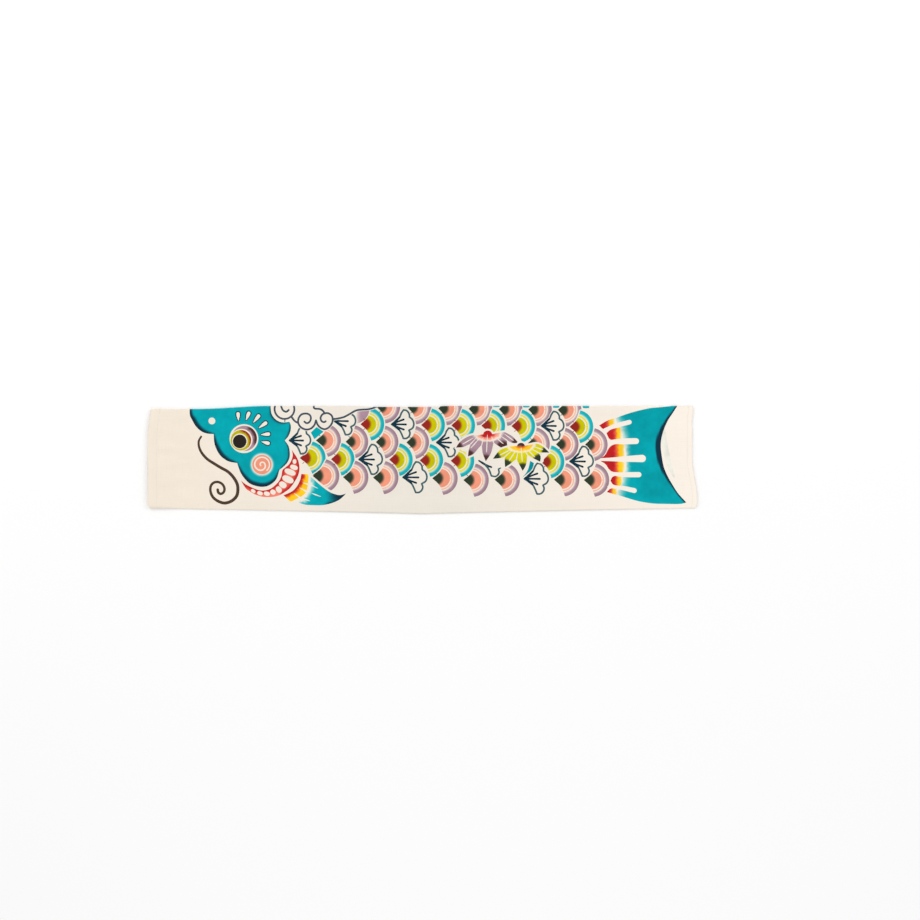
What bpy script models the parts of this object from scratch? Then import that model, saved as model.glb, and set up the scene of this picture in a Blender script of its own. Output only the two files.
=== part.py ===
"""Carp streamer: a tube of dyed cotton, folded along the back and sewn along the belly, lying flat.

X runs from the mouth (-X) to the tail (+X), +Y is the carp's back, and +Z is up from the surface that
the streamer lies on. The origin is the middle of its underside. Everything is in metres.

One panel of cotton makes the tube. Its mouth edge is turned in as a casing for a soft wire, its tail
edge is turned in as a narrow hem, and its two long edges are sewn together inside the belly. The tube
is built in two halves, which a hinge joins where the streamer is folded in half.
"""

import math

import bmesh
import bpy

MM = 0.001

# Outline of the flat tube
LENGTH = 900 * MM
BACK_Y = 88.5 * MM  # the folded back edge, along its straight run
BELLY_Y = -88.5 * MM  # the belly seam, where the tube is widest
MOUTH_BACK_DROP = 5 * MM  # how far the back edge comes in at the mouth
MOUTH_BACK_LOW = 80 * MM  # it stays low over this length behind the mouth
MOUTH_BACK_RUN = 120 * MM  # and then climbs over this length
BELLY_END_RISE = 9.8 * MM  # how far the belly edge comes in at both ends
BELLY_BEND = 0.85  # the power that shapes the belly: 1 is a plain V, 2 is a parabola

# Cloth, wire and thread
CLOTH = 0.4 * MM
WIRE_D = 1.2 * MM
THREAD_D = 0.4 * MM

# Hems and seam
MOUTH_HEM = 15 * MM
TAIL_HEM = 8 * MM
SEAM_ALLOWANCE = 10 * MM
MOUTH_TAPER = 40 * MM  # from the thick casing down to the plain body
WIRE_FROM_RIM = 3 * MM
WIRE_OVERLAP_POINTS = 5  # ring points that the wire's two ends share, side by side

# Fold
FOLD_X = 0.0
FOLD_GAP = 0.4 * MM
FOLD_LIFT = 0.5 * MM  # the fold's axis lies this far above the cloth

# Clearances
GAP = 0.3 * MM  # between two pieces that touch
LAYER_GAP = 0.4 * MM  # between the turned-in flaps of the near and the far layer
THREAD_SINK = 0.1 * MM  # a stitch lies this far below the cloth's surface
GROOVE_HALF = 1.5 * MM  # half the width of the furrow that a row of stitches pulls

# Mesh steps
ROUND_STEPS = 6  # for each folded edge of a section
FLAT_STEPS = 8  # across each layer
BODY_STEPS = 9  # along each half
TAPER_STEPS = 6
THREAD_SIDES = 2  # bevel resolution of wire and thread

MOUTH_X = -LENGTH / 2
TAIL_X = LENGTH / 2
MOUTH_STITCH_X = MOUTH_X + MOUTH_HEM
TAIL_STITCH_X = TAIL_X - TAIL_HEM
GROOVE_DEPTH = THREAD_SINK + THREAD_D + GAP
BODY_HEIGHT = 2 * CLOTH + max(2 * GROOVE_DEPTH + LAYER_GAP, 2 * CLOTH + 2 * GAP)
MOUTH_HEIGHT = 2 * (2 * CLOTH + WIRE_D + 2 * GAP) + LAYER_GAP
WIRE_INSET = CLOTH + GAP + WIRE_D / 2
MOUTH_FLAP_INSET = CLOTH + GAP + WIRE_D + GAP
TAIL_FLAP_INSET = CLOTH + GAP
SEAM_THREAD_INSET = CLOTH + GAP + THREAD_D / 2
SEAM_STRIP_INSET = CLOTH + GAP + THREAD_D + GAP
HEAD_END_X = FOLD_X - FOLD_GAP / 2
TAIL_START_X = FOLD_X + FOLD_GAP / 2


def smooth(t):
    """Eases from 0 to 1 as t goes from 0 to 1."""
    t = min(1.0, max(0.0, t))
    return t * t * (3 - 2 * t)


def back_edge(x):
    """The Y of the folded back at x: straight, and a little lower near the mouth."""
    climb = smooth((x - MOUTH_X - MOUTH_BACK_LOW) / MOUTH_BACK_RUN)
    return BACK_Y - MOUTH_BACK_DROP * (1 - climb)


def belly_edge(x):
    """The Y of the belly seam at x: a shallow V that is lowest in the middle of the length."""
    return BELLY_Y + BELLY_END_RISE * abs(2 * x / LENGTH) ** BELLY_BEND


def height(x):
    """The thickness of the flat tube at x: the wire's casing, then the plain body."""
    past_casing = (x - MOUTH_STITCH_X - GROOVE_HALF) / MOUTH_TAPER
    return BODY_HEIGHT + (MOUTH_HEIGHT - BODY_HEIGHT) * (1 - smooth(past_casing))


def section(x, inset):
    """One loop of points round the tube at x, set in from its outer surface.

    The loop starts on the near layer at the back, and runs over the near layer, round the belly edge,
    back under the far layer and round the back fold.
    """
    middle = height(x) / 2
    radius = middle - inset
    back = back_edge(x) - inset - radius
    belly = belly_edge(x) + inset + radius
    loop = []
    for i in range(FLAT_STEPS):
        loop.append((x, back + (belly - back) * i / FLAT_STEPS, middle + radius))
    for i in range(ROUND_STEPS):
        turn = math.pi * i / ROUND_STEPS
        loop.append((x, belly - radius * math.sin(turn), middle + radius * math.cos(turn)))
    for i in range(FLAT_STEPS):
        loop.append((x, belly + (back - belly) * i / FLAT_STEPS, middle - radius))
    for i in range(ROUND_STEPS):
        turn = math.pi * i / ROUND_STEPS
        loop.append((x, back + radius * math.sin(turn), middle - radius * math.cos(turn)))
    return loop


def spaced(start, end, steps):
    """Evenly spaced values from start to end, both included."""
    return [start + (end - start) * i / steps for i in range(steps + 1)]


def groove_inset(x):
    """How deep a row of stitches pulls the cloth in at x."""
    near = min(abs(x - MOUTH_STITCH_X), abs(x - TAIL_STITCH_X))
    return GROOVE_DEPTH * max(0.0, 1 - near / GROOVE_HALF)


def clear_scene():
    """Removes what the startup scene holds."""
    for obj in list(bpy.data.objects):
        bpy.data.objects.remove(obj, do_unlink=True)


def make_collection(name):
    """A new collection in the scene."""
    collection = bpy.data.collections.new(name)
    bpy.context.scene.collection.children.link(collection)
    return collection


def make_material(name, colour, roughness, metallic=0.0):
    """A plain finish from a linear colour."""
    material = bpy.data.materials.new(name)
    material.use_nodes = True
    shader = material.node_tree.nodes["Principled BSDF"]
    shader.inputs["Base Color"].default_value = (*colour, 1.0)
    shader.inputs["Roughness"].default_value = roughness
    shader.inputs["Metallic"].default_value = metallic
    return material


def place(name, data, material, collection):
    """Puts new object data in the collection, with its finish."""
    data.materials.append(material)
    obj = bpy.data.objects.new(name, data)
    collection.objects.link(obj)
    return obj


def grid_mesh(name, rows, closed):
    """A sheet of quads through rows of points, closed round each row or open."""
    bm = bmesh.new()
    verts = [[bm.verts.new(point) for point in row] for row in rows]
    across = len(rows[0]) if closed else len(rows[0]) - 1
    for first, second in zip(verts, verts[1:]):
        for i in range(across):
            j = (i + 1) % len(first)
            bm.faces.new((first[i], first[j], second[j], second[i]))
    mesh = bpy.data.meshes.new(name)
    bm.to_mesh(mesh)
    bm.free()
    return mesh


def thicken(obj, thickness, offset):
    """Gives a sheet its thickness, with its rim closed."""
    solidify = obj.modifiers.new("cloth thickness", "SOLIDIFY")
    solidify.thickness = thickness
    solidify.offset = offset
    solidify.use_even_offset = True
    solidify.use_rim = True


def sleeve(name, places, material, collection):
    """A tube of cloth through the sections at each (x, inset), with its wall turned inwards."""
    rows = [section(x, inset) for x, inset in places]
    obj = place(name, grid_mesh(name, rows, closed=True), material, collection)
    thicken(obj, CLOTH, offset=-1)
    return obj


def cord(name, points, diameter, cyclic, material, collection):
    """A round wire or thread through the points."""
    curve = bpy.data.curves.new(name, "CURVE")
    curve.dimensions = "3D"
    curve.bevel_depth = diameter / 2
    curve.bevel_resolution = THREAD_SIDES
    curve.use_fill_caps = not cyclic
    spline = curve.splines.new("POLY")
    spline.points.add(len(points) - 1)
    for spot, point in zip(spline.points, points):
        spot.co = (*point, 1.0)
    spline.use_cyclic_u = cyclic
    return place(name, curve, material, collection)


def head_half(material, collection):
    """The mouth half of the tube, from the rim to the fold."""
    taper_start = MOUTH_STITCH_X + GROOVE_HALF
    taper_end = taper_start + MOUTH_TAPER
    stations = [MOUTH_X + CLOTH + GAP, MOUTH_STITCH_X - GROOVE_HALF, MOUTH_STITCH_X]
    stations += spaced(taper_start, taper_end, TAPER_STEPS)
    stations += spaced(taper_end, HEAD_END_X, BODY_STEPS)[1:]
    places = [(x, groove_inset(x)) for x in stations]
    return sleeve("cloth_head_half", places, material, collection)


def tail_half(material, collection):
    """The tail half of the tube, from the fold to the tail edge."""
    stations = spaced(TAIL_START_X, TAIL_STITCH_X - GROOVE_HALF, BODY_STEPS)
    stations += [TAIL_STITCH_X, TAIL_STITCH_X + GROOVE_HALF, TAIL_X - CLOTH - GAP]
    places = [(x, groove_inset(x)) for x in stations]
    return sleeve("cloth_tail_half", places, material, collection)


def mouth_casing(material, collection):
    """The cloth turned over the rim of the mouth, which shuts the wire in behind the outer layer."""
    rim = MOUTH_X + CLOTH
    places = [(rim, 0), (rim, MOUTH_FLAP_INSET), (MOUTH_STITCH_X - GROOVE_HALF, MOUTH_FLAP_INSET)]
    return sleeve("mouth_casing", places, material, collection)


def tail_hem(material, collection):
    """The cloth turned in over the tail edge."""
    edge = TAIL_X - CLOTH
    places = [(TAIL_STITCH_X + GROOVE_HALF, TAIL_FLAP_INSET), (edge, TAIL_FLAP_INSET), (edge, 0)]
    return sleeve("tail_hem", places, material, collection)


def mouth_wire(material, collection):
    """A soft wire loop in the casing, whose two ends lie side by side."""
    ring = section(MOUTH_X + WIRE_FROM_RIM, WIRE_INSET)
    lap = ring[: WIRE_OVERLAP_POINTS - 1]
    route = ring[1:] + lap
    pitch = (WIRE_D + GAP) / len(ring)
    points = [(x + pitch * i, y, z) for i, (x, y, z) in enumerate(route)]
    return cord("mouth_wire", points, WIRE_D, False, material, collection)


def hem_stitching(name, x, material, collection):
    """The row of stitches all round the tube that holds a hem."""
    ring = section(x, THREAD_SINK + THREAD_D / 2)
    return cord(name, ring, THREAD_D, True, material, collection)


def seam_run(start, end):
    """The X values along one half of the belly seam."""
    return spaced(start, end, 2 * BODY_STEPS)


def belly_seam(name, start, end, material, collection):
    """The two seam allowances, pressed together inside the belly."""
    rows = []
    for x in seam_run(start, end):
        outer = belly_edge(x) + SEAM_STRIP_INSET
        rows.append([(x, outer, height(x) / 2), (x, outer + SEAM_ALLOWANCE, height(x) / 2)])
    obj = place(name, grid_mesh(name, rows, closed=False), material, collection)
    thicken(obj, 2 * CLOTH, offset=0)
    return obj


def belly_thread(name, start, end, material, collection):
    """The stitches that close the belly, along the seam line."""
    points = [(x, belly_edge(x) + SEAM_THREAD_INSET, height(x) / 2) for x in seam_run(start, end)]
    return cord(name, points, THREAD_D, False, material, collection)


def fold_axis(collection):
    """The empty on the axis that the tail half folds about, which carries that half."""
    empty = bpy.data.objects.new("fold_in_half", None)
    empty.location = (FOLD_X, 0, BODY_HEIGHT + FOLD_LIFT)
    collection.objects.link(empty)
    bpy.context.view_layer.update()
    return empty


def carry(empty, pieces):
    """Parents the pieces to the empty, and keeps them where they are."""
    for piece in pieces:
        piece.parent = empty
        piece.matrix_parent_inverse = empty.matrix_world.inverted()


def build():
    """Makes every sub-part of the streamer."""
    clear_scene()
    streamer = make_collection("carp streamer")
    cotton = make_material("undyed cotton", (0.88, 0.83, 0.74), 0.9)
    thread = make_material("cotton sewing thread", (0.90, 0.87, 0.80), 0.8)
    wire = make_material("galvanised soft wire", (0.55, 0.56, 0.57), 0.45, metallic=1.0)

    head_run = (MOUTH_STITCH_X + 2 * GROOVE_HALF, HEAD_END_X)
    tail_run = (TAIL_START_X, TAIL_STITCH_X - 2 * GROOVE_HALF)

    head_half(cotton, streamer)
    mouth_casing(cotton, streamer)
    mouth_wire(wire, streamer)
    hem_stitching("mouth_casing_stitching", MOUTH_STITCH_X, thread, streamer)
    belly_seam("belly_seam_head_half", *head_run, cotton, streamer)
    belly_thread("belly_thread_head_half", *head_run, thread, streamer)

    tail_pieces = [
        tail_half(cotton, streamer),
        tail_hem(cotton, streamer),
        hem_stitching("tail_hem_stitching", TAIL_STITCH_X, thread, streamer),
        belly_seam("belly_seam_tail_half", *tail_run, cotton, streamer),
        belly_thread("belly_thread_tail_half", *tail_run, thread, streamer),
    ]
    carry(fold_axis(streamer), tail_pieces)


build()
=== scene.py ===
"""Carp streamer of hand-dyed cotton, lying flat: the looks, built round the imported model.

The streamer is one tube of cloth. Its outer face is triangulated along the edges of every dyed shape, so
that each colour ends where the dyer's resist paste stopped it, and its colours are worked out shape by
shape, the way a dyer brushes them: a ground colour first, then the darker shading along one edge.

Sizes in this file are in millimetres, unless a name ends in _M. The cloth's own flat coordinates are x
from the mouth (-) to the tail (+), and y from the belly (-) to the back (+).
"""

import logging
import math
from dataclasses import dataclass, field
from enum import Enum
from typing import Any, Callable, Sequence

import bpy
import numpy as np
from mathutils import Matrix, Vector
from mathutils.geometry import delaunay_2d_cdt


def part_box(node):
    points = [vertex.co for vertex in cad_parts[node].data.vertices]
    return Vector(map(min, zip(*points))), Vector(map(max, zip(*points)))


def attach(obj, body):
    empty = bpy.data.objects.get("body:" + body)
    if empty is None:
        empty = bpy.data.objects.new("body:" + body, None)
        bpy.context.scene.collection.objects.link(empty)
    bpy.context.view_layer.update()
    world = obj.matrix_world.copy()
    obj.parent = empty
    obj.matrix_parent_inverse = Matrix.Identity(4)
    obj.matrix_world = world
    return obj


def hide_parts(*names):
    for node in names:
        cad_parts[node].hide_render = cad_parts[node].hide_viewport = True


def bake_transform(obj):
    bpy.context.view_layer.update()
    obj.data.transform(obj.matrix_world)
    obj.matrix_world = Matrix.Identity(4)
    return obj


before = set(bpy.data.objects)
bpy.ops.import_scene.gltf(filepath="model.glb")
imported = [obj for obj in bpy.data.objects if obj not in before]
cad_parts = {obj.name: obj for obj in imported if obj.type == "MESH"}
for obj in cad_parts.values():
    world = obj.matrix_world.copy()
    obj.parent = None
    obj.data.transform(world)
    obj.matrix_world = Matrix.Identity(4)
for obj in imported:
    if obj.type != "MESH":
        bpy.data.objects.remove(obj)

log = logging.getLogger("carp_streamer")

MM = 0.001
Array = np.ndarray
Paint = Callable[[Array], Array]
XY = tuple[float, float]


# ----------------------------------------
# Colours
# ----------------------------------------


class Dye(Enum):
    """The colours on the cloth, as sRGB hex values."""

    CREAM = "#F6EDDF"
    # a greyer cream for undyed margins, close to the ground's tone in the middle
    CREAM_GREY = "#EBE5D9"
    TEAL = "#00A6B0"
    TEAL_LIGHT = "#1BB1B8"
    TEAL_DEEP = "#00929D"
    NAVY = "#0F3243"
    SLATE = "#3F6066"
    INK = "#434E5C"
    LIME = "#C5C000"
    LEMON = "#DAD30C"
    OLIVE = "#BDB405"
    YELLOW = "#E6D93C"
    BRICK = "#94271F"
    SALMON = "#F0977A"
    SALMON_LIGHT = "#F6B79D"
    MAUVE = "#A98A97"
    MAUVE_DEEP = "#896A79"
    MOSS = "#2F3B2B"
    BROWN = "#4D3C31"
    UMBER = "#2C2520"
    PLUM = "#4C2F2E"
    CORAL = "#F08472"
    VERMILION = "#DE5244"
    RED = "#BE1F23"
    ORANGE = "#F58A1F"
    GOLD = "#FDC91E"
    # painted shade: where the far layer's tail edge would show through the near layer
    SHOW_THROUGH_SHADE = "#ECE9DE"

    @property
    def rgb(self) -> Array:
        """Its sRGB parts, from 0 to 1."""
        return hex_parts(self.value)


def hex_parts(colour: str) -> Array:
    """The three sRGB parts, from 0 to 1, of a hex colour such as #00A9B3."""
    return np.array([int(colour[i : i + 2], 16) / 255 for i in (1, 3, 5)])


def linear(srgb: Array) -> Array:
    """Turns sRGB parts into the linear ones that a shader works with.

    Args:
        srgb: parts from 0 to 1, in any shape.

    Returns:
        The linear parts, in the same shape.
    """
    srgb = np.clip(srgb, 0.0, 1.0)
    return np.where(srgb <= 0.04045, srgb / 12.92, ((srgb + 0.055) / 1.055) ** 2.4)


def linear_rgba(colour: str) -> tuple[float, float, float, float]:
    """A hex colour as the linear RGBA value of a shader's socket."""
    red, green, blue = linear(hex_parts(colour))
    return float(red), float(green), float(blue), 1.0


def ease(value: Array) -> Array:
    """Eases from 0 to 1 as value goes from 0 to 1."""
    value = np.clip(value, 0.0, 1.0)
    return value * value * (3 - 2 * value)


def mix(first: Array, second: Array, share: Array) -> Array:
    """Brushes the second colour over the first one.

    Args:
        first: one colour, or one for each point.
        second: one colour, or one for each point.
        share: how much of the second shows at each point, from 0 to 1.

    Returns:
        A colour for each point.
    """
    share = np.asarray(share)[:, None]
    return first * (1 - share) + second * share


def ramp(place: Array, stops: Sequence[tuple[float, Dye]]) -> Array:
    """The colour at each place along a row of stops.

    Args:
        place: one number for each point.
        stops: (place, dye) pairs in rising order.

    Returns:
        A colour for each point.
    """
    spots = [spot for spot, _ in stops]
    shades = np.array([dye.rgb for _, dye in stops])
    return np.stack([np.interp(place, spots, shades[:, i]) for i in range(3)], axis=1)


def flat(dye: Dye) -> Paint:
    """A paint of one colour all over."""
    return lambda points: np.tile(dye.rgb, (len(points), 1))


# ----------------------------------------
# Drawing on the flat cloth
# ----------------------------------------

STEP = 1.4  # spacing of the points along a drawn edge


def resampled(points: Array, step: float) -> Array:
    """The same line with evenly spaced points.

    Args:
        points: the line's points.
        step: about how far apart they come to lie.

    Returns:
        The new line's points.
    """
    lengths = np.hypot(*np.diff(points, axis=0).T)
    along = np.concatenate([[0.0], np.cumsum(lengths)])
    count = max(2, int(round(along[-1] / step)) + 1)
    even = np.linspace(0, along[-1], count)
    return np.stack([np.interp(even, along, points[:, i]) for i in range(2)], axis=1)


def curve(points: Sequence[XY], step: float = STEP) -> Array:
    """A smooth curve through the points, evenly sampled.

    Args:
        points: the points that it passes through, at least two.
        step: the spacing of the samples.

    Returns:
        The samples, from the first point to the last.
    """
    knots = np.array(points, float)
    if len(knots) == 2:
        return resampled(knots, step)
    before = 2 * knots[0] - knots[1]
    after = 2 * knots[-1] - knots[-2]
    knots = np.vstack([before, knots, after])
    t = np.linspace(0, 1, 13)[:-1, None]
    pieces = []
    for a, b, c, d in zip(knots, knots[1:], knots[2:], knots[3:]):
        bend = 2 * b + (c - a) * t + (2 * a - 5 * b + 4 * c - d) * t**2 + (3 * b - a - 3 * c + d) * t**3
        pieces.append(bend / 2)
    return resampled(np.vstack([*pieces, knots[-2][None]]), step)


def outline(*runs: Sequence[XY]) -> Array:
    """A closed shape whose sides are smooth curves, with a corner wherever one side meets the next."""
    return np.vstack([curve(run)[:-1] for run in runs])


def arc(centre: Array, radius: float, start: float, end: float, step: float = STEP) -> Array:
    """An arc round a centre, from one angle to the other, in radians.

    Args:
        centre: its centre.
        radius: its radius.
        start: its first angle.
        end: its last angle.
        step: about how far apart its points lie.

    Returns:
        The arc's points.
    """
    count = max(3, int(abs(end - start) * radius / step) + 1)
    turn = np.linspace(start, end, count)
    return np.asarray(centre) + radius * np.stack([np.cos(turn), np.sin(turn)], axis=1)


def disc(centre: XY, radius: float, step: float = STEP) -> Array:
    """A round outline."""
    return arc(np.array(centre), radius, 0, 2 * math.pi, min(step, radius / 2))[:-1]


def normals(line: Array) -> Array:
    """Unit vectors across a line, to its left.

    Args:
        line: the line's points.

    Returns:
        One vector for each point.
    """
    along = np.gradient(line, axis=0)
    along /= np.hypot(*along.T)[:, None]
    return np.stack([-along[:, 1], along[:, 0]], axis=1)


def stroke(points: Sequence[XY], widths: Sequence[float], step: float = STEP) -> Array:
    """The outline of a brush stroke with round ends.

    Args:
        points: what its middle passes through.
        widths: its width at evenly spaced places from its start to its end.
        step: the spacing of the samples along it.

    Returns:
        A closed outline.
    """
    middle = curve(points, step)
    place = np.linspace(0, 1, len(middle))
    half = np.interp(place, np.linspace(0, 1, len(widths)), widths)[:, None] / 2
    side = normals(middle) * half
    ends = []
    for spot, before, radius in ((middle[-1], middle[-2], half[-1, 0]), (middle[0], middle[1], half[0, 0])):
        heading = math.atan2(*(spot - before)[::-1])
        spread = math.pi / 2 * (1 - 1 / max(2, int(math.pi * radius / step)))
        ends.append(arc(spot, radius, heading + spread, heading - spread, min(step, radius)))
    return np.vstack([middle + side, ends[0], (middle - side)[::-1], ends[1]])


def pebble(centre: XY, length: float, width: float, tilt: float) -> Array:
    """A smooth rounded lozenge.

    Args:
        centre: its middle.
        length: its size along its tilt.
        width: its size across that.
        tilt: its direction in degrees.

    Returns:
        A closed outline.
    """
    turn = np.linspace(0, 2 * math.pi, max(10, int((length + width) * 1.2)))[:-1]
    square = 0.85  # below 1 the lozenge is fuller than an ellipse
    along = np.sign(np.cos(turn)) * np.abs(np.cos(turn)) ** square * length / 2
    across = np.sign(np.sin(turn)) * np.abs(np.sin(turn)) ** square * width / 2
    lean = math.radians(tilt)
    x = centre[0] + along * math.cos(lean) - across * math.sin(lean)
    y = centre[1] + along * math.sin(lean) + across * math.cos(lean)
    return np.stack([x, y], axis=1)


def widened(shape: Array, margin: float) -> Array:
    """A closed outline moved outwards by a margin.

    Args:
        shape: the closed outline.
        margin: how far it moves.

    Returns:
        The wider outline.
    """
    across = np.roll(shape, -1, axis=0) - np.roll(shape, 1, axis=0)
    across /= np.hypot(*across.T)[:, None] + 1e-9
    outward = np.stack([across[:, 1], -across[:, 0]], axis=1)
    x, y = shape.T
    turns_left = np.sum(x * np.roll(y, -1) - y * np.roll(x, -1)) > 0
    return shape + (outward if turns_left else -outward) * margin


def inside(shape: Array, points: Array) -> Array:
    """Which of the points lie inside a closed outline.

    Args:
        shape: the closed outline.
        points: points on the flat cloth.

    Returns:
        A truth value for each point.
    """
    hits = np.zeros(len(points), bool)
    low, high = shape.min(axis=0), shape.max(axis=0)
    near = np.flatnonzero(((points >= low) & (points <= high)).all(axis=1))
    if not len(near):
        return hits
    x, y = points[near].T
    crossed = np.zeros(len(near), bool)
    for (x0, y0), (x1, y1) in zip(shape, np.roll(shape, -1, axis=0)):
        if y0 == y1:
            continue
        spans = (y0 > y) != (y1 > y)
        crossed ^= spans & (x < (x1 - x0) * (y - y0) / (y1 - y0) + x0)
    hits[near] = crossed
    return hits


def distance(line: Array, points: Array) -> Array:
    """How far each point is from an open line.

    Args:
        line: the line's points.
        points: points on the flat cloth.

    Returns:
        A distance for each point.
    """
    nearest = np.full(len(points), np.inf)
    for start, end in zip(line[:-1], line[1:]):
        run, offset = end - start, points - start
        share = np.clip(offset @ run / (run @ run + 1e-12), 0, 1)
        nearest = np.minimum(nearest, ((offset - share[:, None] * run) ** 2).sum(axis=1))
    return np.sqrt(nearest)


def beside(line: Array, margins: Sequence[float]) -> list[Array]:
    """Copies of a line on both sides of it, which carry the shading along an edge."""
    return [line + normals(line) * side * margin for margin in margins for side in (-1, 1)]


@dataclass
class Motif:
    """One dyed shape.

    Attributes:
        shape: its closed outline.
        paint: the colour at each point inside it.
        creases: lines inside it where its colour changes at once.
        grain: loose points, whose colours carry a soft change.
        shaded: whether its colour changes softly, so that the mesh is fine all over it.
    """

    shape: Array
    paint: Paint
    creases: list[Array] = field(default_factory=list)
    grain: list[Array] = field(default_factory=list)
    shaded: bool = False


# ----------------------------------------
# The carp's drawing
# ----------------------------------------


@dataclass
class Scales:
    """The rows of fan-shaped scales, with leaves drawn in some of their places.

    Attributes:
        first: the centre of the fan in column 0 of the first row, which the back fold cuts.
        column: the distance from one column to the next.
        row: the distance from one row to the next.
        droop: how much the rows sink for each unit towards the tail.
        reach: a fan's radius.
        apex: how far its point lies before its centre, in each row.
        corner: the angle of its rim's upper end, in degrees.
        lower_corner: the angle of its rim's lower end, in each row.
        hollow: how deep its two sides curve in.
        leaf_line: the width of a leaf's line.
        tick: where a stencil tick lies from a fan's point.
        rows: S and L for a salmon and a lime fan, and a dot for a place that holds neither.
        first_longer: how much farther the fans beside the head reach to their points.
        first_columns: how many columns lie beside the head.
        heart_seed: how far behind a fan's point its heart's round front is centred.
        heart_fade: the width over which the heart fades into the core.
        margin: the width left undyed round a fan.
        strays: how far the hand-cut fans stray from the lattice, by column, in each row.
        leaves: each leaf's point and size.
    """

    first: XY = (-211.0, 86.0)
    column: float = 24.47
    row: float = 29.0
    droop: float = 0.012
    reach: float = 27.6
    apex: tuple[float, ...] = (11.0, 11.4, 9.4, 11.0, 14.0)
    corner: float = 76.5
    lower_corner: tuple[float, ...] = (84.0, 77.0, 76.5, 77.0, 81.5)
    hollow: float = 3.4
    leaf_line: float = 2.9
    tick: XY = (5.9, 8.2)
    rows: tuple[str, ...] = (
        "......S.S.S.S.S.S.S..",
        ".....L...L.L.L.L...L.",
        "..S.S.S.S.......S.S.S",
        ".L.L...L.L.L.....L...",
        "..S.S.S...S.S.S...S.S",
    )
    first_longer: float = 4.0
    first_columns: int = 3
    heart_seed: float = 6.5
    heart_fade: float = 5.8
    margin: float = 1.7
    strays: tuple[dict[int, XY], ...] = (
        {8: (2.0, -0.8), 10: (3.3, -1.6), 12: (4.0, -1.6), 14: (4.6, -1.6), 16: (3.8, -1.6),
         18: (3.3, -1.6)},
        {5: (-1.5, 0), 11: (0.5, 0), 13: (0.8, 0), 15: (1.0, 0), 19: (-1.6, 0)},
        {2: (0.8, 1.6), 4: (-3.4, 0), 6: (-2.8, 0), 8: (-1.6, 0), 16: (0.5, 0), 18: (-1.3, 0),
         20: (-2.6, 0)},
        {1: (0.3, 1.6), 3: (-1.3, 0), 7: (-3.8, 0.6), 9: (-2.8, 0), 11: (-0.9, 0)},
        {2: (-1.8, 1.6), 4: (-3.1, 0), 6: (-2.8, 0), 10: (-3.6, 0), 12: (-1.6, -2.4), 14: (0.5, -1.2)},
    )
    leaves: tuple[tuple[XY, float], ...] = (
        ((-217.9, 32.0), 0.88), ((-144.9, 63.8), 0.9), ((-103.9, 0.9), 0.97), ((-31.9, -28.4), 1.0),
        ((-50.6, 58.4), 0.93), ((23.3, 28.7), 0.93), ((195.0, 55.9), 0.93), ((166.9, -30.8), 1.0),
        ((241.7, -2.3), 0.97),
    )

    def centre(self, row: int, column: float) -> Array:
        """The centre of the fan in a place of the lattice."""
        x = self.first[0] + column * self.column
        return np.array([x, self.first[1] - row * self.row - self.droop * (x - 45)])

    def fan_shape(self, centre: Array, point: Array, lower: float) -> Array:
        """A fan: a round rim and two hollow sides that meet in a point.

        Args:
            centre: the centre of the rim's arc.
            point: where its sides meet.
            lower: the angle of the rim's lower end, in degrees.

        Returns:
            The closed outline.
        """
        rim = arc(centre, self.reach, -math.radians(lower), math.radians(self.corner))
        sides = []
        for end, sign in ((rim[-1], 1), (rim[0], -1)):
            bow = self.hollow * np.array([0.84, -0.54 * sign])
            sides.append(curve([tuple(end), tuple((point + end) / 2 + bow), tuple(point)]))
        return np.vstack([rim[:-1], sides[0][:-1], sides[1][::-1][:-1]])

    def fan(self, row: int, column: int, bands: "FanBands") -> tuple[list[Motif], list[Motif]]:
        """One fan over its undyed margin, and its stencil ticks, which are brushed last.

        Args:
            row: its row.
            column: its column.
            bands: its dyes.

        Returns:
            The margin and the fan, and then the ticks.
        """
        centre = self.centre(row, column) + np.array(self.strays[row].get(column, (0, 0)))
        apex = self.apex[row] + (self.first_longer if column < self.first_columns else 0.0)
        point, seed = centre - np.array([apex, 0.0]), centre - np.array([apex - self.heart_seed, 0.0])
        heart_to = 3.0 + 0.36 * apex

        def paint(points: Array) -> Array:
            """The dye by distance from the seed and from the centre."""
            out = np.hypot(*(points - centre).T)
            from_seed = np.hypot(*(points - seed).T)
            heart = mix(bands.heart.rgb, bands.core.rgb, ease((from_seed - heart_to) / self.heart_fade))
            rim = mix(Dye.CREAM_GREY.rgb, bands.rim.rgb, ease((out - bands.rim_from) / 3.2))
            rim = mix(rim, bands.rim_deep.rgb, ease((out - 24.0) / 3) * 0.5)
            colour = np.where((out < bands.core_to)[:, None], heart, rim)
            line = (out > bands.line_from) & (out < bands.line_to)
            return np.where(line[:, None], bands.line.rgb, colour)

        shape = self.fan_shape(centre, point, self.lower_corner[row])
        edges = [bands.core_to, bands.line_from, bands.line_to]
        soft = [bands.rim_from, bands.rim_from + 1.6, bands.rim_from + 3.2, 25.6]
        creases = [clip_to(shape, arc(centre, r, -2.2, 2.2, 2.0)) for r in edges]
        grain = [clip_to(shape, arc(centre, r, -2.2, 2.2, 2.2)) for r in soft]
        for out in (0.0, 1.5, 3.0, 4.5, self.heart_fade):
            grain.append(clip_to(shape, arc(seed, heart_to + out, -1.9, 1.9, 2.0)))
        bridge = [tuple(centre + np.array([bands.core_to + shift, 0.0])) for shift in (-0.4, 2.2)]
        made = [
            Motif(widened(shape, self.margin), flat(Dye.CREAM_GREY)),
            Motif(shape, paint, creases, grain),
            Motif(stroke(bridge, [1.3, 1.3]), flat(bands.line)),
        ]
        ticks = []
        for side in (1, -1)[: 1 if row == len(self.rows) - 1 else 2]:
            middle = point + np.array([self.tick[0], self.tick[1] * side])
            across = np.array([-0.76, 0.65 * side]) * 1.3
            ends = [tuple(middle - across), tuple(middle + across)]
            ticks.append(Motif(stroke(ends, [1.1, 0.9]), flat(bands.tick)))
        return made, ticks

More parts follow.
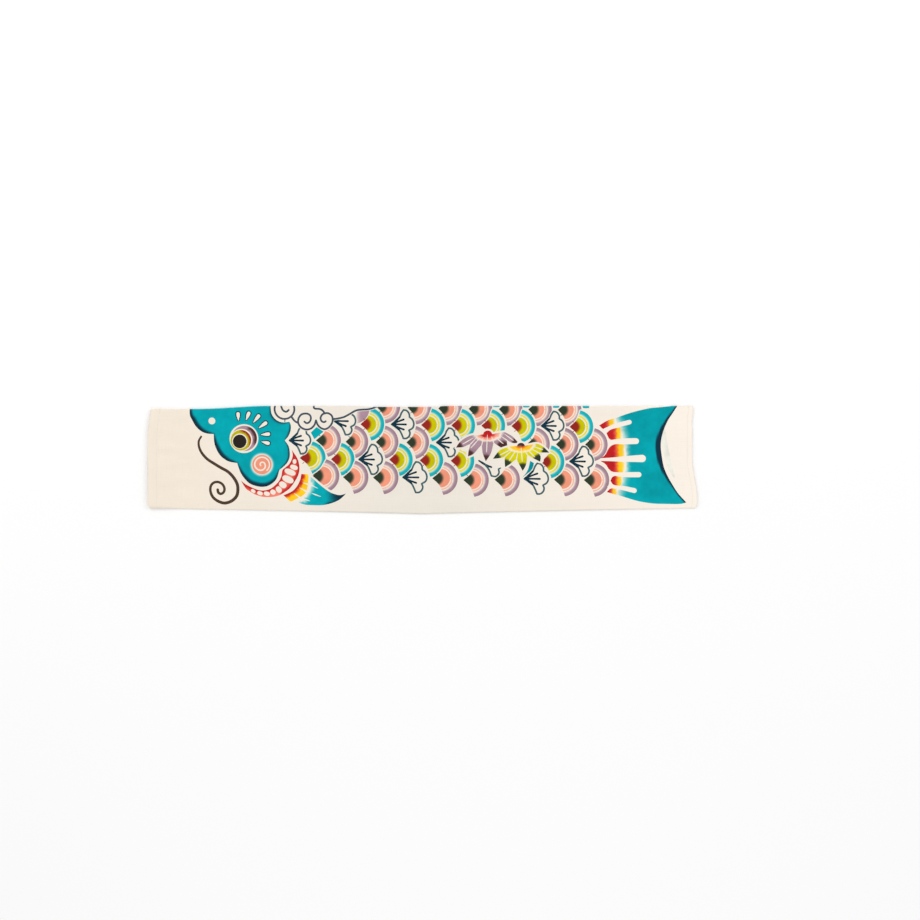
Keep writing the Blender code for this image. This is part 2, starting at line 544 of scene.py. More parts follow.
    def leaf(self, apex: XY, size: float) -> list[Motif]:
        """A leaf drawn in line, with three lobes and three veins.

        Args:
            apex: its point.
            size: its size, where 1 is the largest.

        Returns:
            Its margin, its outline and its veins.
        """
        edge = self.leaf_line
        upper = [(0, 0), (7.5, 6.2), (14.0, 12.4), (17.4, 20.0), (21.0, 25.3)]
        lobes = (
            [(21.0, 25.3), (26.5, 24.2), (30.8, 19.0), (31.6, 12.8)],
            [(31.6, 12.8), (36.7, 8.4), (39.2, 1.0), (37.2, -6.2), (30.6, -10.5)],
            [(30.6, -10.5), (32.4, -15.5), (30.8, -21.0), (26.2, -24.6), (20.8, -24.8)],
        )
        lower = [(20.8, -24.8), (17.4, -16.5), (13.4, -9.4), (7.5, -4.8), (0, 0)]
        roots = (upper[:3], [(0, 0), (7.5, -4.8), (13.4, -9.4)])
        veins = (
            [(3, 1.2), (12, 5.2), (21.4, 8.6)],
            [(3, 0), (14, 0), (25.4, -0.2)],
            [(3, -1.2), (12, -5.4), (21.6, -9.2)],
        )

        def moved(points: Sequence[XY]) -> list[XY]:
            """Points of the leaf of size 1, scaled and set at its point."""
            return [(apex[0] + x * size, apex[1] + y * size) for x, y in points]

        body = outline(moved(upper), *(moved(lobe) for lobe in lobes), moved(lower))
        made = [Motif(widened(body, 2.6), flat(Dye.CREAM_GREY))]
        made += [Motif(stroke(moved(line), [edge] * 3), flat(Dye.SLATE)) for line in (upper, *lobes, lower)]
        made += [Motif(stroke(moved(line), [1.2, 3.6, 3.4]), flat(Dye.NAVY)) for line in roots]
        made += [Motif(stroke(moved(line), [3.4, 2.9, 3.3]), flat(Dye.NAVY)) for line in veins]
        return made

    def motifs(self) -> list[Motif]:
        """Every scale and leaf, and what shows of the ones that other shapes hide."""
        made, ticks = [], []
        for row, places in enumerate(self.rows):
            for column, kind in enumerate(places):
                if kind != ".":
                    fan, bars = self.fan(row, column, SALMON_FAN if kind == "S" else LIME_FAN)
                    made += fan
                    ticks += bars
        made += self.fragments()
        for apex, size in self.leaves:
            made += self.leaf(apex, size)
        return made + ticks

    def fragments(self) -> list[Motif]:
        """Scales that mostly lie under the clouds, under a blossom or past the back fold."""
        made = []
        for column in (13, 15, 17, 19):
            sliver = arc(self.centre(-1, column + 0.55), self.reach, -1.74, -1.36, 1.0)
            made.append(Motif(np.vstack([sliver, sliver[[-1, 0]] + np.array([0, 4.0])]), flat(Dye.TEAL)))
        rim = outline([(176.5, -1.5), (182.7, -4.9)],
                      [(182.7, -4.9), (181, -12), (176.5, -18.6), (163.5, -28.8)],
                      [(163.5, -28.8), (169.7, -21.3), (173.8, -13.1), (176.5, -1.5)])
        made.append(Motif(rim, flat(Dye.TEAL_DEEP)))
        half_leaf = (
            ([(92.5, -1.1), (98, -4.6), (104.1, -8.3), (113, -11.7)], [2.6, 3.6, 3.4, 3.0], Dye.NAVY),
            ([(103, -8), (108.9, -15.8), (113, -26.1)], [3.2, 3.0, 2.8], Dye.SLATE),
            ([(113, -26.1), (120.5, -26.8), (125.3, -21.3), (124.6, -14.8)], [2.8, 2.8, 2.8], Dye.SLATE),
            ([(124.6, -14.8), (128, -13.1)], [2.4, 2.0], Dye.SLATE),
        )
        made += [Motif(stroke(line, widths), flat(dye)) for line, widths, dye in half_leaf]
        mauve = outline([(-107.5, 79), (-99, 80.5), (-91, 82), (-86, 83)],
                        [(-86, 83), (-89, 74), (-94, 66)],
                        [(-94, 66), (-101, 62), (-107.5, 59.5)],
                        [(-107.5, 59.5), (-108.5, 70), (-107.5, 79)])
        teal = outline([(-183, 45), (-173.5, 54)], [(-173.5, 54), (-162, 46.5)], [(-162, 46.5), (-177, 34)],
                       [(-177, 34), (-183, 45)])
        made.append(Motif(mauve, lambda p: mix(Dye.CREAM.rgb, Dye.MAUVE.rgb, ease((p[:, 0] + 112) / 12)),
                          shaded=True))
        made.append(Motif(teal, flat(Dye.TEAL)))
        return made


@dataclass(frozen=True)
class FanBands:
    """The colours of one sort of fan, from its heart to its rim, and the radii where they change."""

    heart: Dye
    core: Dye
    line: Dye
    rim: Dye
    rim_deep: Dye
    tick: Dye
    core_to: float
    line_from: float
    line_to: float
    rim_from: float


SALMON_FAN = FanBands(Dye.MOSS, Dye.SALMON, Dye.SALMON_LIGHT, Dye.MAUVE, Dye.MAUVE_DEEP, Dye.BROWN,
                      15.2, 17.0, 19.1, 20.0)
LIME_FAN = FanBands(Dye.BRICK, Dye.LIME, Dye.YELLOW, Dye.TEAL_LIGHT, Dye.TEAL, Dye.BRICK,
                    14.4, 16.3, 19.2, 19.8)


def clip_to(shape: Array, line: Array) -> Array:
    """The points of a line that lie inside a shape."""
    return line[inside(shape, line)]


def crescent_shade(line: Array, points: Array, width: float) -> Array:
    """How dark a brushed shadow is inside an edge, which is widest half way along and runs out at its ends.

    Args:
        line: the edge.
        points: where the shade is wanted.
        width: the shadow's greatest width.

    Returns:
        From 0 to 1 for each point.
    """
    nearest, place = np.full(len(points), np.inf), np.zeros(len(points))
    for share, spot in zip(np.linspace(0, 1, len(line)), line):
        away = np.hypot(*(points - spot).T)
        place = np.where(away < nearest, share, place)
        nearest = np.minimum(nearest, away)
    reach = width * np.sin(math.pi * np.clip(place, 0.02, 0.98)) ** 0.55
    return ease((reach + 1.6 - distance(line, points)) / 4.6) * ease(reach / 1.5)


@dataclass
class Head:
    """The head, with its eye, cheek, nostril and the drops behind the eye."""

    lower_shade: float = 7.0
    rear_shade: float = 3.2
    lower_rims: tuple[tuple[XY, ...], ...] = (
        ((-381, 90), (-381, 74), (-377, 65), (-371.5, 55.5), (-363, 47.5), (-353.5, 43.5), (-342, 42.5)),
        ((-342, 42.5), (-341, 28), (-337, 16.5), (-330.5, 6.5), (-320.5, -1), (-312.5, -3.5), (-303.5, -5)),
        ((-303.5, -5), (-301.5, -11.5), (-297.5, -21.5), (-291, -31), (-283, -38.5), (-273, -42.5),
         (-263, -44), (-253.5, -42.5), (-244.5, -37), (-238.5, -29.5), (-234.5, -16.5)),
    )
    rear_rims: tuple[tuple[XY, ...], ...] = (
        ((-234.5, -16.5), (-228.5, -11.5), (-222, -5), (-218, 3.5), (-217.5, 13), (-219.5, 23),
         (-225.5, 32)),
        ((-225.5, 32), (-219.5, 39.5), (-216, 49), (-216, 57.5), (-218, 62.5)),
        ((-218, 62.5), (-228.5, 61.5), (-237, 64), (-243.5, 69.5), (-247.5, 77), (-249, 90)),
    )
    eye: XY = (-292.5, 35.0)
    cheek: XY = (-263.0, -7.5)
    nostril: XY = (-345.0, 64.0)
    drops: tuple[tuple[XY, XY], ...] = (
        ((-302, 75.5), (-301.5, 65)),
        ((-284.5, 76.5), (-289, 65.5)),
        ((-268.5, 72), (-277, 61.5)),
        ((-257, 60.5), (-268, 52.5)),
        ((-252.5, 42.5), (-264.5, 41.5)),
        ((-253, 27.5), (-263.5, 30)),
    )

    def skull(self) -> Motif:
        """The teal shape, shaded navy inside its lower rims and more narrowly inside its rear ones."""
        lower = [curve(run) for run in self.lower_rims]
        rear = [curve(run) for run in self.rear_rims]
        cheek = np.array(self.cheek)

        def paint(points: Array) -> Array:
            """Teal, with navy at the rims."""
            sides = [(line, self.lower_shade) for line in lower] + [(line, self.rear_shade) for line in rear]
            shadow = np.max([crescent_shade(line, points, width) for line, width in sides], axis=0)
            cloudy = ease((patches(points, 38.0, 3) + 0.1) * 1.2) * 0.35
            colour = mix(mix(Dye.TEAL.rgb, Dye.TEAL_DEEP.rgb, cloudy), Dye.NAVY.rgb, shadow)
            glow = 1 - ease((np.hypot(*(points - cheek).T) - 15.8) / 5.2)
            return mix(colour, Dye.CREAM.rgb, glow)

        rims = self.lower_rims + self.rear_rims
        grain = [line for rim in (*lower, *rear) for line in beside(rim, (1.6, 3.6, 5.8, 8.2))]
        grain += [disc(self.cheek, r, 2.4) for r in (16.2, 17.8, 19.4, 21.2)]
        return Motif(outline(*rims), paint, [], grain, shaded=True)

    def eye_rings(self) -> list[Motif]:
        """The eye, from its white down to its pupil."""
        x, y = self.eye

        def crescent(points: Array) -> Array:
            """The dye of the eye's crescent."""
            angle = np.arctan2(points[:, 1] - y, points[:, 0] - x)
            reach = np.hypot(points[:, 0] - x, points[:, 1] - y)
            shade = ease((angle + 0.7) / 0.5) * (1 - ease((angle - 1.0) / 0.4)) * ease((reach - 15.5) / 2.5)
            return mix(Dye.MAUVE.rgb, Dye.PLUM.rgb, shade)

        def iris(points: Array) -> Array:
            """The dye of the iris."""
            angle = np.arctan2(points[:, 1] - y + 4.6, points[:, 0] - x + 7)
            reach = np.hypot(points[:, 0] - x + 7, points[:, 1] - y + 4.6)
            side = ease((angle + 0.9) / 0.5) * (1 - ease((angle - 1.2) / 0.5))
            return mix(Dye.OLIVE.rgb, Dye.BRICK.rgb, ease((reach - 15.0) / 2.0) * side)

        return [
            Motif(disc((x, y), 23.6), flat(Dye.CREAM_GREY)),
            Motif(disc((x + 0.5, y + 0.3), 20.8), crescent, shaded=True),
            Motif(disc((x - 4.2, y - 2.2), 18.2), flat(Dye.CREAM_GREY)),
            Motif(disc((x - 5.0, y - 2.6), 16.8), iris, shaded=True),
            Motif(disc((x - 6.8, y - 4.2), 12.6), flat(Dye.CREAM_GREY)),
            Motif(disc((x - 7.0, y - 4.6), 11.2), flat(Dye.UMBER)),
        ]

    def cheek_spot(self) -> list[Motif]:
        """A round blush with a spiral left undyed in it."""
        x, y = self.cheek
        turn = np.linspace(0, 1, 40)
        angle = math.radians(217) - turn * 3.48 * math.pi
        out = np.interp(turn, [0, 0.2, 0.36, 0.5, 0.62, 1], [2.6, 3.8, 5.3, 9.4, 11.8, 12.4])
        spiral = [(x + r * math.cos(a), y + r * math.sin(a)) for r, a in zip(out, angle)]
        return [
            Motif(disc(self.cheek, 15.9), flat(Dye.SALMON)),
            Motif(stroke(spiral, [2.2, 2.4, 2.2, 2.0]), flat(Dye.CREAM)),
        ]

    def drop(self, fat: XY, point: XY) -> list[Motif]:
        """A tear drop left undyed, with a navy line round it.

        Args:
            fat: the middle of its round end.
            point: its sharp end.

        Returns:
            The line and the drop.
        """
        line = stroke([fat, point], [9.2, 8.8, 6.4, 3.6], 1.0)
        fill = stroke([fat, point], [5.8, 5.4, 3.2, 1.0], 1.0)
        return [Motif(line, flat(Dye.NAVY)), Motif(fill, flat(Dye.CREAM))]

    def motifs(self) -> list[Motif]:
        """The head's shapes in the order that they are brushed."""
        made = [self.skull(), *self.eye_rings(), *self.cheek_spot()]
        made.append(Motif(disc(self.nostril, 5.6), flat(Dye.CREAM)))
        for fat, point in self.drops:
            made += self.drop(fat, point)
        return made


@dataclass
class Whisker:
    """The long barbel, which ends in a curl."""

    route: tuple[XY, ...] = (
        (-362.5, 38.5), (-366.5, 31), (-366, 21.5), (-361.5, 11.5), (-352.5, 1.5), (-342, -5.5),
        (-330.5, -12.5), (-319, -19), (-310, -28), (-303.5, -39.5), (-302.5, -51), (-305, -60),
        (-312.5, -67), (-323, -70.5), (-333.5, -68), (-342.5, -61.5), (-347, -52.5), (-347, -43.5),
        (-342.5, -37.5),
        (-335, -36), (-328, -39.5), (-324.5, -46), (-325.5, -52.5), (-330.5, -55.5), (-334.5, -53),
        (-335.5, -48.5),
    )
    widths: tuple[float, ...] = (3.2, 4.3, 4.8, 5.0, 5.3, 5.0, 4.3, 4.1, 4.4)

    def motifs(self) -> list[Motif]:
        """One brown stroke."""
        return [Motif(stroke(self.route, self.widths), flat(Dye.BROWN))]


@dataclass
class Mouth:
    """The grinning mouth: a crescent with a row of teeth."""

    outer: tuple[XY, ...] = (
        (-297.5, -33.5), (-289.5, -46.5), (-281, -52.5), (-271.5, -57.5), (-260, -60.5), (-246.5, -60.5),
        (-235, -58), (-225.5, -52.5), (-217, -46), (-209, -35), (-203.5, -24.5), (-201.5, -15),
        (-202.5, -5), (-205.5, 3.5), (-214, 16.5),
    )
    inner: tuple[XY, ...] = (
        (-214, 16.5), (-212.5, 8), (-214.5, 0), (-219, -7.5), (-225.5, -13), (-229.5, -17), (-231, -26),
        (-235, -34.5), (-242, -42), (-250, -47.5), (-260, -50), (-269.5, -49), (-279.5, -45),
        (-289.5, -40), (-297.5, -33.5),
    )
    teeth: tuple[tuple[XY, float, float, float], ...] = (
        ((-277.3, -50.8), 8.2, 5.2, -35),
        ((-266.1, -54.4), 9.5, 6.2, -20),
        ((-254.9, -55.1), 10.0, 6.8, -15),
        ((-244.9, -52.6), 9.0, 8.0, -30),
        ((-235.4, -48.5), 11.0, 8.5, -55),
        ((-228.8, -40.7), 13.0, 9.5, -35),
        ((-220.4, -31.7), 19.5, 10.5, -25),
        ((-216.9, -19.8), 19.0, 9.0, -22),
        ((-210.5, -12.0), 13.0, 7.5, -20),
        ((-209.6, -2.5), 7.5, 6.2, 90),
    )

    def motifs(self) -> list[Motif]:
        """The lips, and the teeth as gaps in them."""
        inner, outer = curve(self.inner, 2.5), curve(self.outer, 2.5)

        def lips(points: Array) -> Array:
            """The dye of the lips."""
            from_inner, from_outer = distance(inner, points), distance(outer, points)
            right = ease((points[:, 0] + 240) / 12)
            depth = from_inner * (1 - right) + np.minimum(from_inner, from_outer) * right
            return ramp(depth, [(1.2, Dye.RED), (5.0, Dye.VERMILION), (9.0, Dye.CORAL)])

        grain = beside(inner, (2.4, 4.6, 7.0)) + beside(outer, (2.4, 4.6))
        made = [Motif(outline(self.outer, self.inner), lips, [], grain, shaded=True)]
        made += [Motif(pebble(*tooth), flat(Dye.CREAM)) for tooth in self.teeth]
        return made


@dataclass
class GillFrill:
    """The frayed flame behind the mouth, red to gold."""

    inner: tuple[XY, ...] = ((-198.5, -23), (-200.5, -32.8), (-205.5, -42.8), (-213.5, -51.2),
                             (-227.5, -57.8))
    outer: tuple[XY, ...] = ((-227.5, -57.8), (-216.3, -67.6), (-208.7, -64.9), (-199.2, -60.1),
                             (-191.7, -54), (-188.2, -43), (-187.1, -32.8), (-187.6, -23.9), (-198.5, -23))
    rays: tuple[tuple[XY, XY], ...] = (
        ((-196, -37.5), (-185, -40.5)),
        ((-201.5, -45.5), (-189, -52)),
        ((-210, -54.5), (-198.5, -63.5)),
    )

    def motifs(self) -> list[Motif]:
        """The flame, and the rays left undyed in it."""
        inner = curve(self.inner)
        stops = [(0, Dye.RED), (2.6, Dye.RED), (5.6, Dye.ORANGE), (7.6, Dye.GOLD)]

        def flame(points: Array) -> Array:
            """The dye by distance from the inner line."""
            return ramp(distance(inner, points) + 1.6 * patches(points, 3.2, 5), stops)

        grain = beside(inner, (2.5, 5.0, 7.5))
        made = [Motif(outline(self.inner, self.outer), flame, [], grain, shaded=True)]
        made += [Motif(stroke(ray, [0.6, 1.8, 3.6]), flat(Dye.CREAM)) for ray in self.rays]
        return made


@dataclass
class SideFin:
    """The pectoral fin, pale at its root and navy at its tip."""

    upper: tuple[XY, ...] = ((-187.5, -24), (-178, -32), (-164.5, -43.5), (-153.5, -51.5), (-145, -55.5),
                             (-135, -57.5), (-125.5, -55))
    lower: tuple[XY, ...] = ((-125.5, -55), (-130.5, -60.5), (-138.5, -66.5), (-151.5, -71.5), (-164.5, -74),
                             (-179.5, -74), (-192.5, -73), (-205.5, -69))
    root: tuple[XY, ...] = ((-205.5, -69), (-194.5, -60), (-187.5, -45), (-187.5, -24))
    streaks: tuple[tuple[XY, XY], ...] = (
        ((-192.5, -36), (-171.5, -46.5)),
        ((-181.5, -54.5), (-166.5, -60)),
        ((-197.5, -63), (-184.5, -67)),
    )
    halo: float = 3.2

    def motifs(self) -> list[Motif]:
        """The fin over its undyed margin, and the streaks in it."""
        shape = outline(self.upper, self.lower, self.root)
        root, tip = curve(self.root), np.array(self.lower[0])
        edge = curve(self.lower[:5])

        def blade(points: Array) -> Array:
            """The dye of the fin."""
            teal = ease((distance(root, points) + 3 * patches(points, 3.5, 7) - 1) / 11)
            dark = ease(1.5 - np.hypot(*(points - tip).T) / 24)
            low = ease((points[:, 0] + 164) / 12) * ease(1.3 - distance(edge, points) / 3.6)
            dark = np.maximum(dark, low * 0.9)
            return mix(mix(Dye.CREAM.rgb, Dye.TEAL.rgb, teal), Dye.NAVY.rgb, dark)

        made = [Motif(widened(shape, self.halo), flat(Dye.CREAM))]
        made.append(Motif(shape, blade, [], beside(root, (3.0, 6.0, 9.0)), shaded=True))
        made += [Motif(stroke(line, [0.6, 2.0, 1.6, 0.6]), flat(Dye.CREAM)) for line in self.streaks]
        return made


@dataclass
class Clouds:
    """Curled clouds in line over the nape."""

    width: float = 3.1
    ring: XY = (-226.0, 83.5)
    ring_radius: float = 16.2
    lines: tuple[tuple[XY, ...], ...] = (
        ((-231.5, 88), (-228.5, 81.5), (-223, 79), (-219, 82)),
        ((-214, 70), (-209.5, 64), (-203.5, 60.5)),
        ((-193.5, 63), (-190.5, 60.5), (-186, 61.5), (-183, 66.5), (-183.5, 72), (-187.5, 75.5),
         (-193.5, 76), (-199, 74), (-203, 68), (-203.5, 60.5), (-199, 53.5), (-191, 50), (-183, 51.5),
         (-177, 57.5), (-174.5, 65)),
        ((-174.5, 65), (-171.5, 57.5), (-166.5, 52.5), (-160, 50.5), (-153.5, 53.5), (-148.5, 60),
         (-147, 67), (-149, 73), (-154, 76.5), (-160, 76.5), (-164.5, 74), (-167, 69), (-165.5, 64),
         (-161.5, 62), (-158.5, 63.5)),
        ((-178, 90), (-177, 84.5), (-168, 83.5), (-163, 80.5), (-160, 76)),
        ((-147.5, 67), (-138.5, 68), (-128.5, 70.5), (-119, 75.5), (-109, 81), (-99, 82.5), (-89.5, 83),
         (-81, 85), (-74, 88)),
    )

    def motifs(self) -> list[Motif]:
        """The strokes, over the cream ground that hides what lies under the clouds."""
        ring = arc(np.array(self.ring), self.ring_radius, -math.pi - 0.3, 0.3, 3.0)
        under = (self.lines[2][9:], self.lines[3][:7], self.lines[5], ((-74, 94), (-205, 94)),
                 ((-205, 94), (-203.5, 60.5)))
        body = outline(*under)
        made = [
            Motif(widened(body, 2.4), flat(Dye.CREAM)),
            Motif(stroke([tuple(p) for p in ring], [self.width] * 3), flat(Dye.INK)),
            Motif(stroke([(-225.5, 67), (-225.5, 63)], [1.6, 1.6]), flat(Dye.INK)),
        ]
        made += [Motif(stroke(line, [self.width] * 3), flat(Dye.INK)) for line in self.lines]
        return made


@dataclass(frozen=True)
class Blossom:
    """A half-open flower, which hangs from its domed heart.

    Attributes:
        skirt: the curves of its petals' outline, one after the other.
        dome: the heart's outline points.
        core: what its colours spread from, twice as far along as across.
        tips: the petals' points.
        veins: lines left undyed in the petals.
        gaps: undyed lines between the petals.
        heart: the dome's dye.
        stops: the dyes by distance from the core.
        tip: the dye at the petals' points.
        tip_length: how long that dye runs.
        laps: lozenges beside the petals that are left undyed too.
    """

    skirt: tuple[tuple[XY, ...], ...]
    dome: tuple[XY, ...]
    core: XY
    tips: tuple[XY, ...]
    veins: tuple[tuple[XY, XY], ...]
    gaps: tuple[tuple[XY, XY], ...]
    heart: Dye
    stops: tuple[tuple[float, Dye], ...]
    tip: Dye
    tip_length: float
    laps: tuple[tuple[XY, float, float, float], ...] = ()
    halo: float = 3.0

    def motifs(self) -> list[Motif]:
        """The undyed margin first, then the petals with their lines, and the heart last."""
        body, dome = outline(*self.skirt), outline(self.dome, (self.dome[-1], self.dome[0]))
        margins = [widened(shape, self.halo) for shape in (body, dome)] + [pebble(*lap) for lap in self.laps]
        core, tips = np.array(self.core), np.array(self.tips)

        def paint(points: Array) -> Array:
            """The dye by distance from the core."""
            spread = np.hypot((points[:, 0] - core[0]) / 2, points[:, 1] - core[1])
            colour = ramp(spread + 0.9 * patches(points, 2.6, 19), self.stops)
            from_tip = np.min([np.hypot(*(points - spot).T) for spot in tips], axis=0)
            return mix(self.tip.rgb, colour, ease((from_tip - self.tip_length + 2.2) / 4.4))

        turn = np.linspace(0, -math.pi, 26)
        oval = np.stack([2 * np.cos(turn), np.sin(turn)], axis=1)
        grain = [core + oval * place for place, _ in self.stops[1:]]
        for spot in tips:
            grain += [disc(tuple(spot), self.tip_length + more, 2.0) for more in (-2.0, 0.2, 2.2)]
        made = [Motif(shape, flat(Dye.CREAM_GREY)) for shape in margins]
        made.append(Motif(body, paint, [], [clip_to(body, line) for line in grain], shaded=True))
        made += [Motif(stroke(gap, [1.8, 1.2, 0.7]), flat(Dye.CREAM_GREY)) for gap in self.gaps]
        made += [Motif(stroke(vein, [1.1, 1.7, 1.4, 0.7]), flat(Dye.CREAM_GREY)) for vein in self.veins]
        made.append(Motif(dome, flat(self.heart)))
        return made


MAUVE_BLOSSOM = Blossom(
    skirt=(
        ((89.8, 40.2), (82.2, 40.8), (71.3, 36.7), (61.1, 29.2), (54.9, 20.4)),
        ((54.9, 20.4), (65.8, 21), (74, 24.5), (79, 26.5)),
        ((79, 26.5), (75.4, 14.2), (74.7, 5.7)),
        ((74.7, 5.7), (83.6, 10.1), (93.2, 21), (97.3, 25.1)),
        ((97.3, 25.1), (98.6, 11.5), (103.8, -2.2)),
        ((103.8, -2.2), (112.3, 11.5), (116.5, 28.5)),
        ((116.5, 28.5), (123, 24), (130, 19.5)),
        ((130, 19.5), (136, 21.5), (138.9, 23.8)),
        ((138.9, 23.8), (138.5, 29.5), (138.9, 32)),
        ((138.9, 32), (147.8, 27.9), (157.4, 27.9)),
        ((157.4, 27.9), (152, 34), (146.4, 39.5), (135.5, 45.6)),
        ((135.5, 45.6), (127, 44.8), (115, 42.6), (107, 42.2), (98, 42), (89.8, 40.2)),
    ),
    dome=((99.3, 41.2), (101, 45.8), (106.8, 48.4), (112.6, 46), (114.3, 41.6)),
    core=(106.8, 42.5),
    tips=((54.9, 20.4), (74.7, 5.7), (103.8, -2.2), (132, 20.5), (157.4, 27.9)),
    veins=(((66, 26), (83, 36)), ((79.5, 20), (93.5, 35.5)), ((105, 13), (106.4, 41)),
           ((132, 27), (120, 37)), ((149, 32), (134.5, 42.5))),
    gaps=(((79, 26.5), (89, 37)), ((97.3, 25.1), (99.5, 37)), ((116.5, 28.5), (113.5, 38)),
          ((138.9, 32), (126.5, 40.5))),
    heart=Dye.RED,
    stops=((1.5, Dye.RED), (4.6, Dye.RED), (6.6, Dye.CORAL), (9.0, Dye.SALMON_LIGHT), (11.0, Dye.CREAM),
           (13.4, Dye.MAUVE), (26.0, Dye.MAUVE), (40.0, Dye.MAUVE_DEEP)),
    tip=Dye.PLUM,
    tip_length=10.6,
    laps=(((69.5, 17.6), 13.0, 7.0, 0.0),),
)
LIME_BLOSSOM = Blossom(
    skirt=(
        ((141.7, 21.7), (139.6, 21), (127.3, 16.3), (119.1, 7.4), (115.7, 1.9)),
        ((115.7, 1.9), (127.3, 3.3), (134.8, 5.3)),
        ((134.8, 5.3), (134.8, -4.9), (135.5, -11.7)),
        ((135.5, -11.7), (143.7, -6.3), (154, 1.9)),
        ((154, 1.9), (158.7, -7.6), (164.2, -17.9)),
        ((164.2, -17.9), (169.7, -7.6), (172, 8.7)),
        ((172, 8.7), (183.3, 1.9), (192.9, -2.9)),
        ((192.9, -2.9), (193.6, 6), (189.5, 12.2)),
        ((189.5, 12.2), (195.6, 12.2), (207.9, 12.2)),
        ((207.9, 12.2), (197, 22.4), (187.4, 26.5), (177.9, 25.1)),
        ((177.9, 25.1), (169, 23.6), (161, 22.8), (151, 22.8), (141.7, 21.7)),
    ),
    dome=((155.0, 22.9), (157, 26.6), (161.5, 28.2), (166, 26.6), (168, 23.0)),
    core=(161.5, 24.0),
    tips=((115.7, 1.9), (135.5, -11.7), (164.2, -17.9), (192.9, -2.9), (207.9, 12.2)),
    veins=(((127, 8), (146, 18)), ((142, -1), (152, 14)), ((163.5, -2), (161.8, 20)), ((184, 5), (172, 17)),
           ((197, 17), (182, 22))),
    gaps=(((134.8, 5.3), (147, 16)), ((154, 1.9), (156.5, 13)), ((172, 8.7), (167.5, 15)),
          ((189.5, 12.2), (177, 19))),
    heart=Dye.PLUM,
    stops=((1.5, Dye.BRICK), (4.0, Dye.ORANGE), (6.2, Dye.GOLD), (8.6, Dye.GOLD), (10.8, Dye.CREAM),
           (13.0, Dye.LEMON), (20.0, Dye.LEMON), (30.0, Dye.LIME)),
    tip=Dye.MOSS,
    tip_length=12.6,
    laps=(((199.0, 7.5), 9.0, 6.5, 0.0), ((194.6, 1.0), 8.2, 12.0, 0.0)),
)


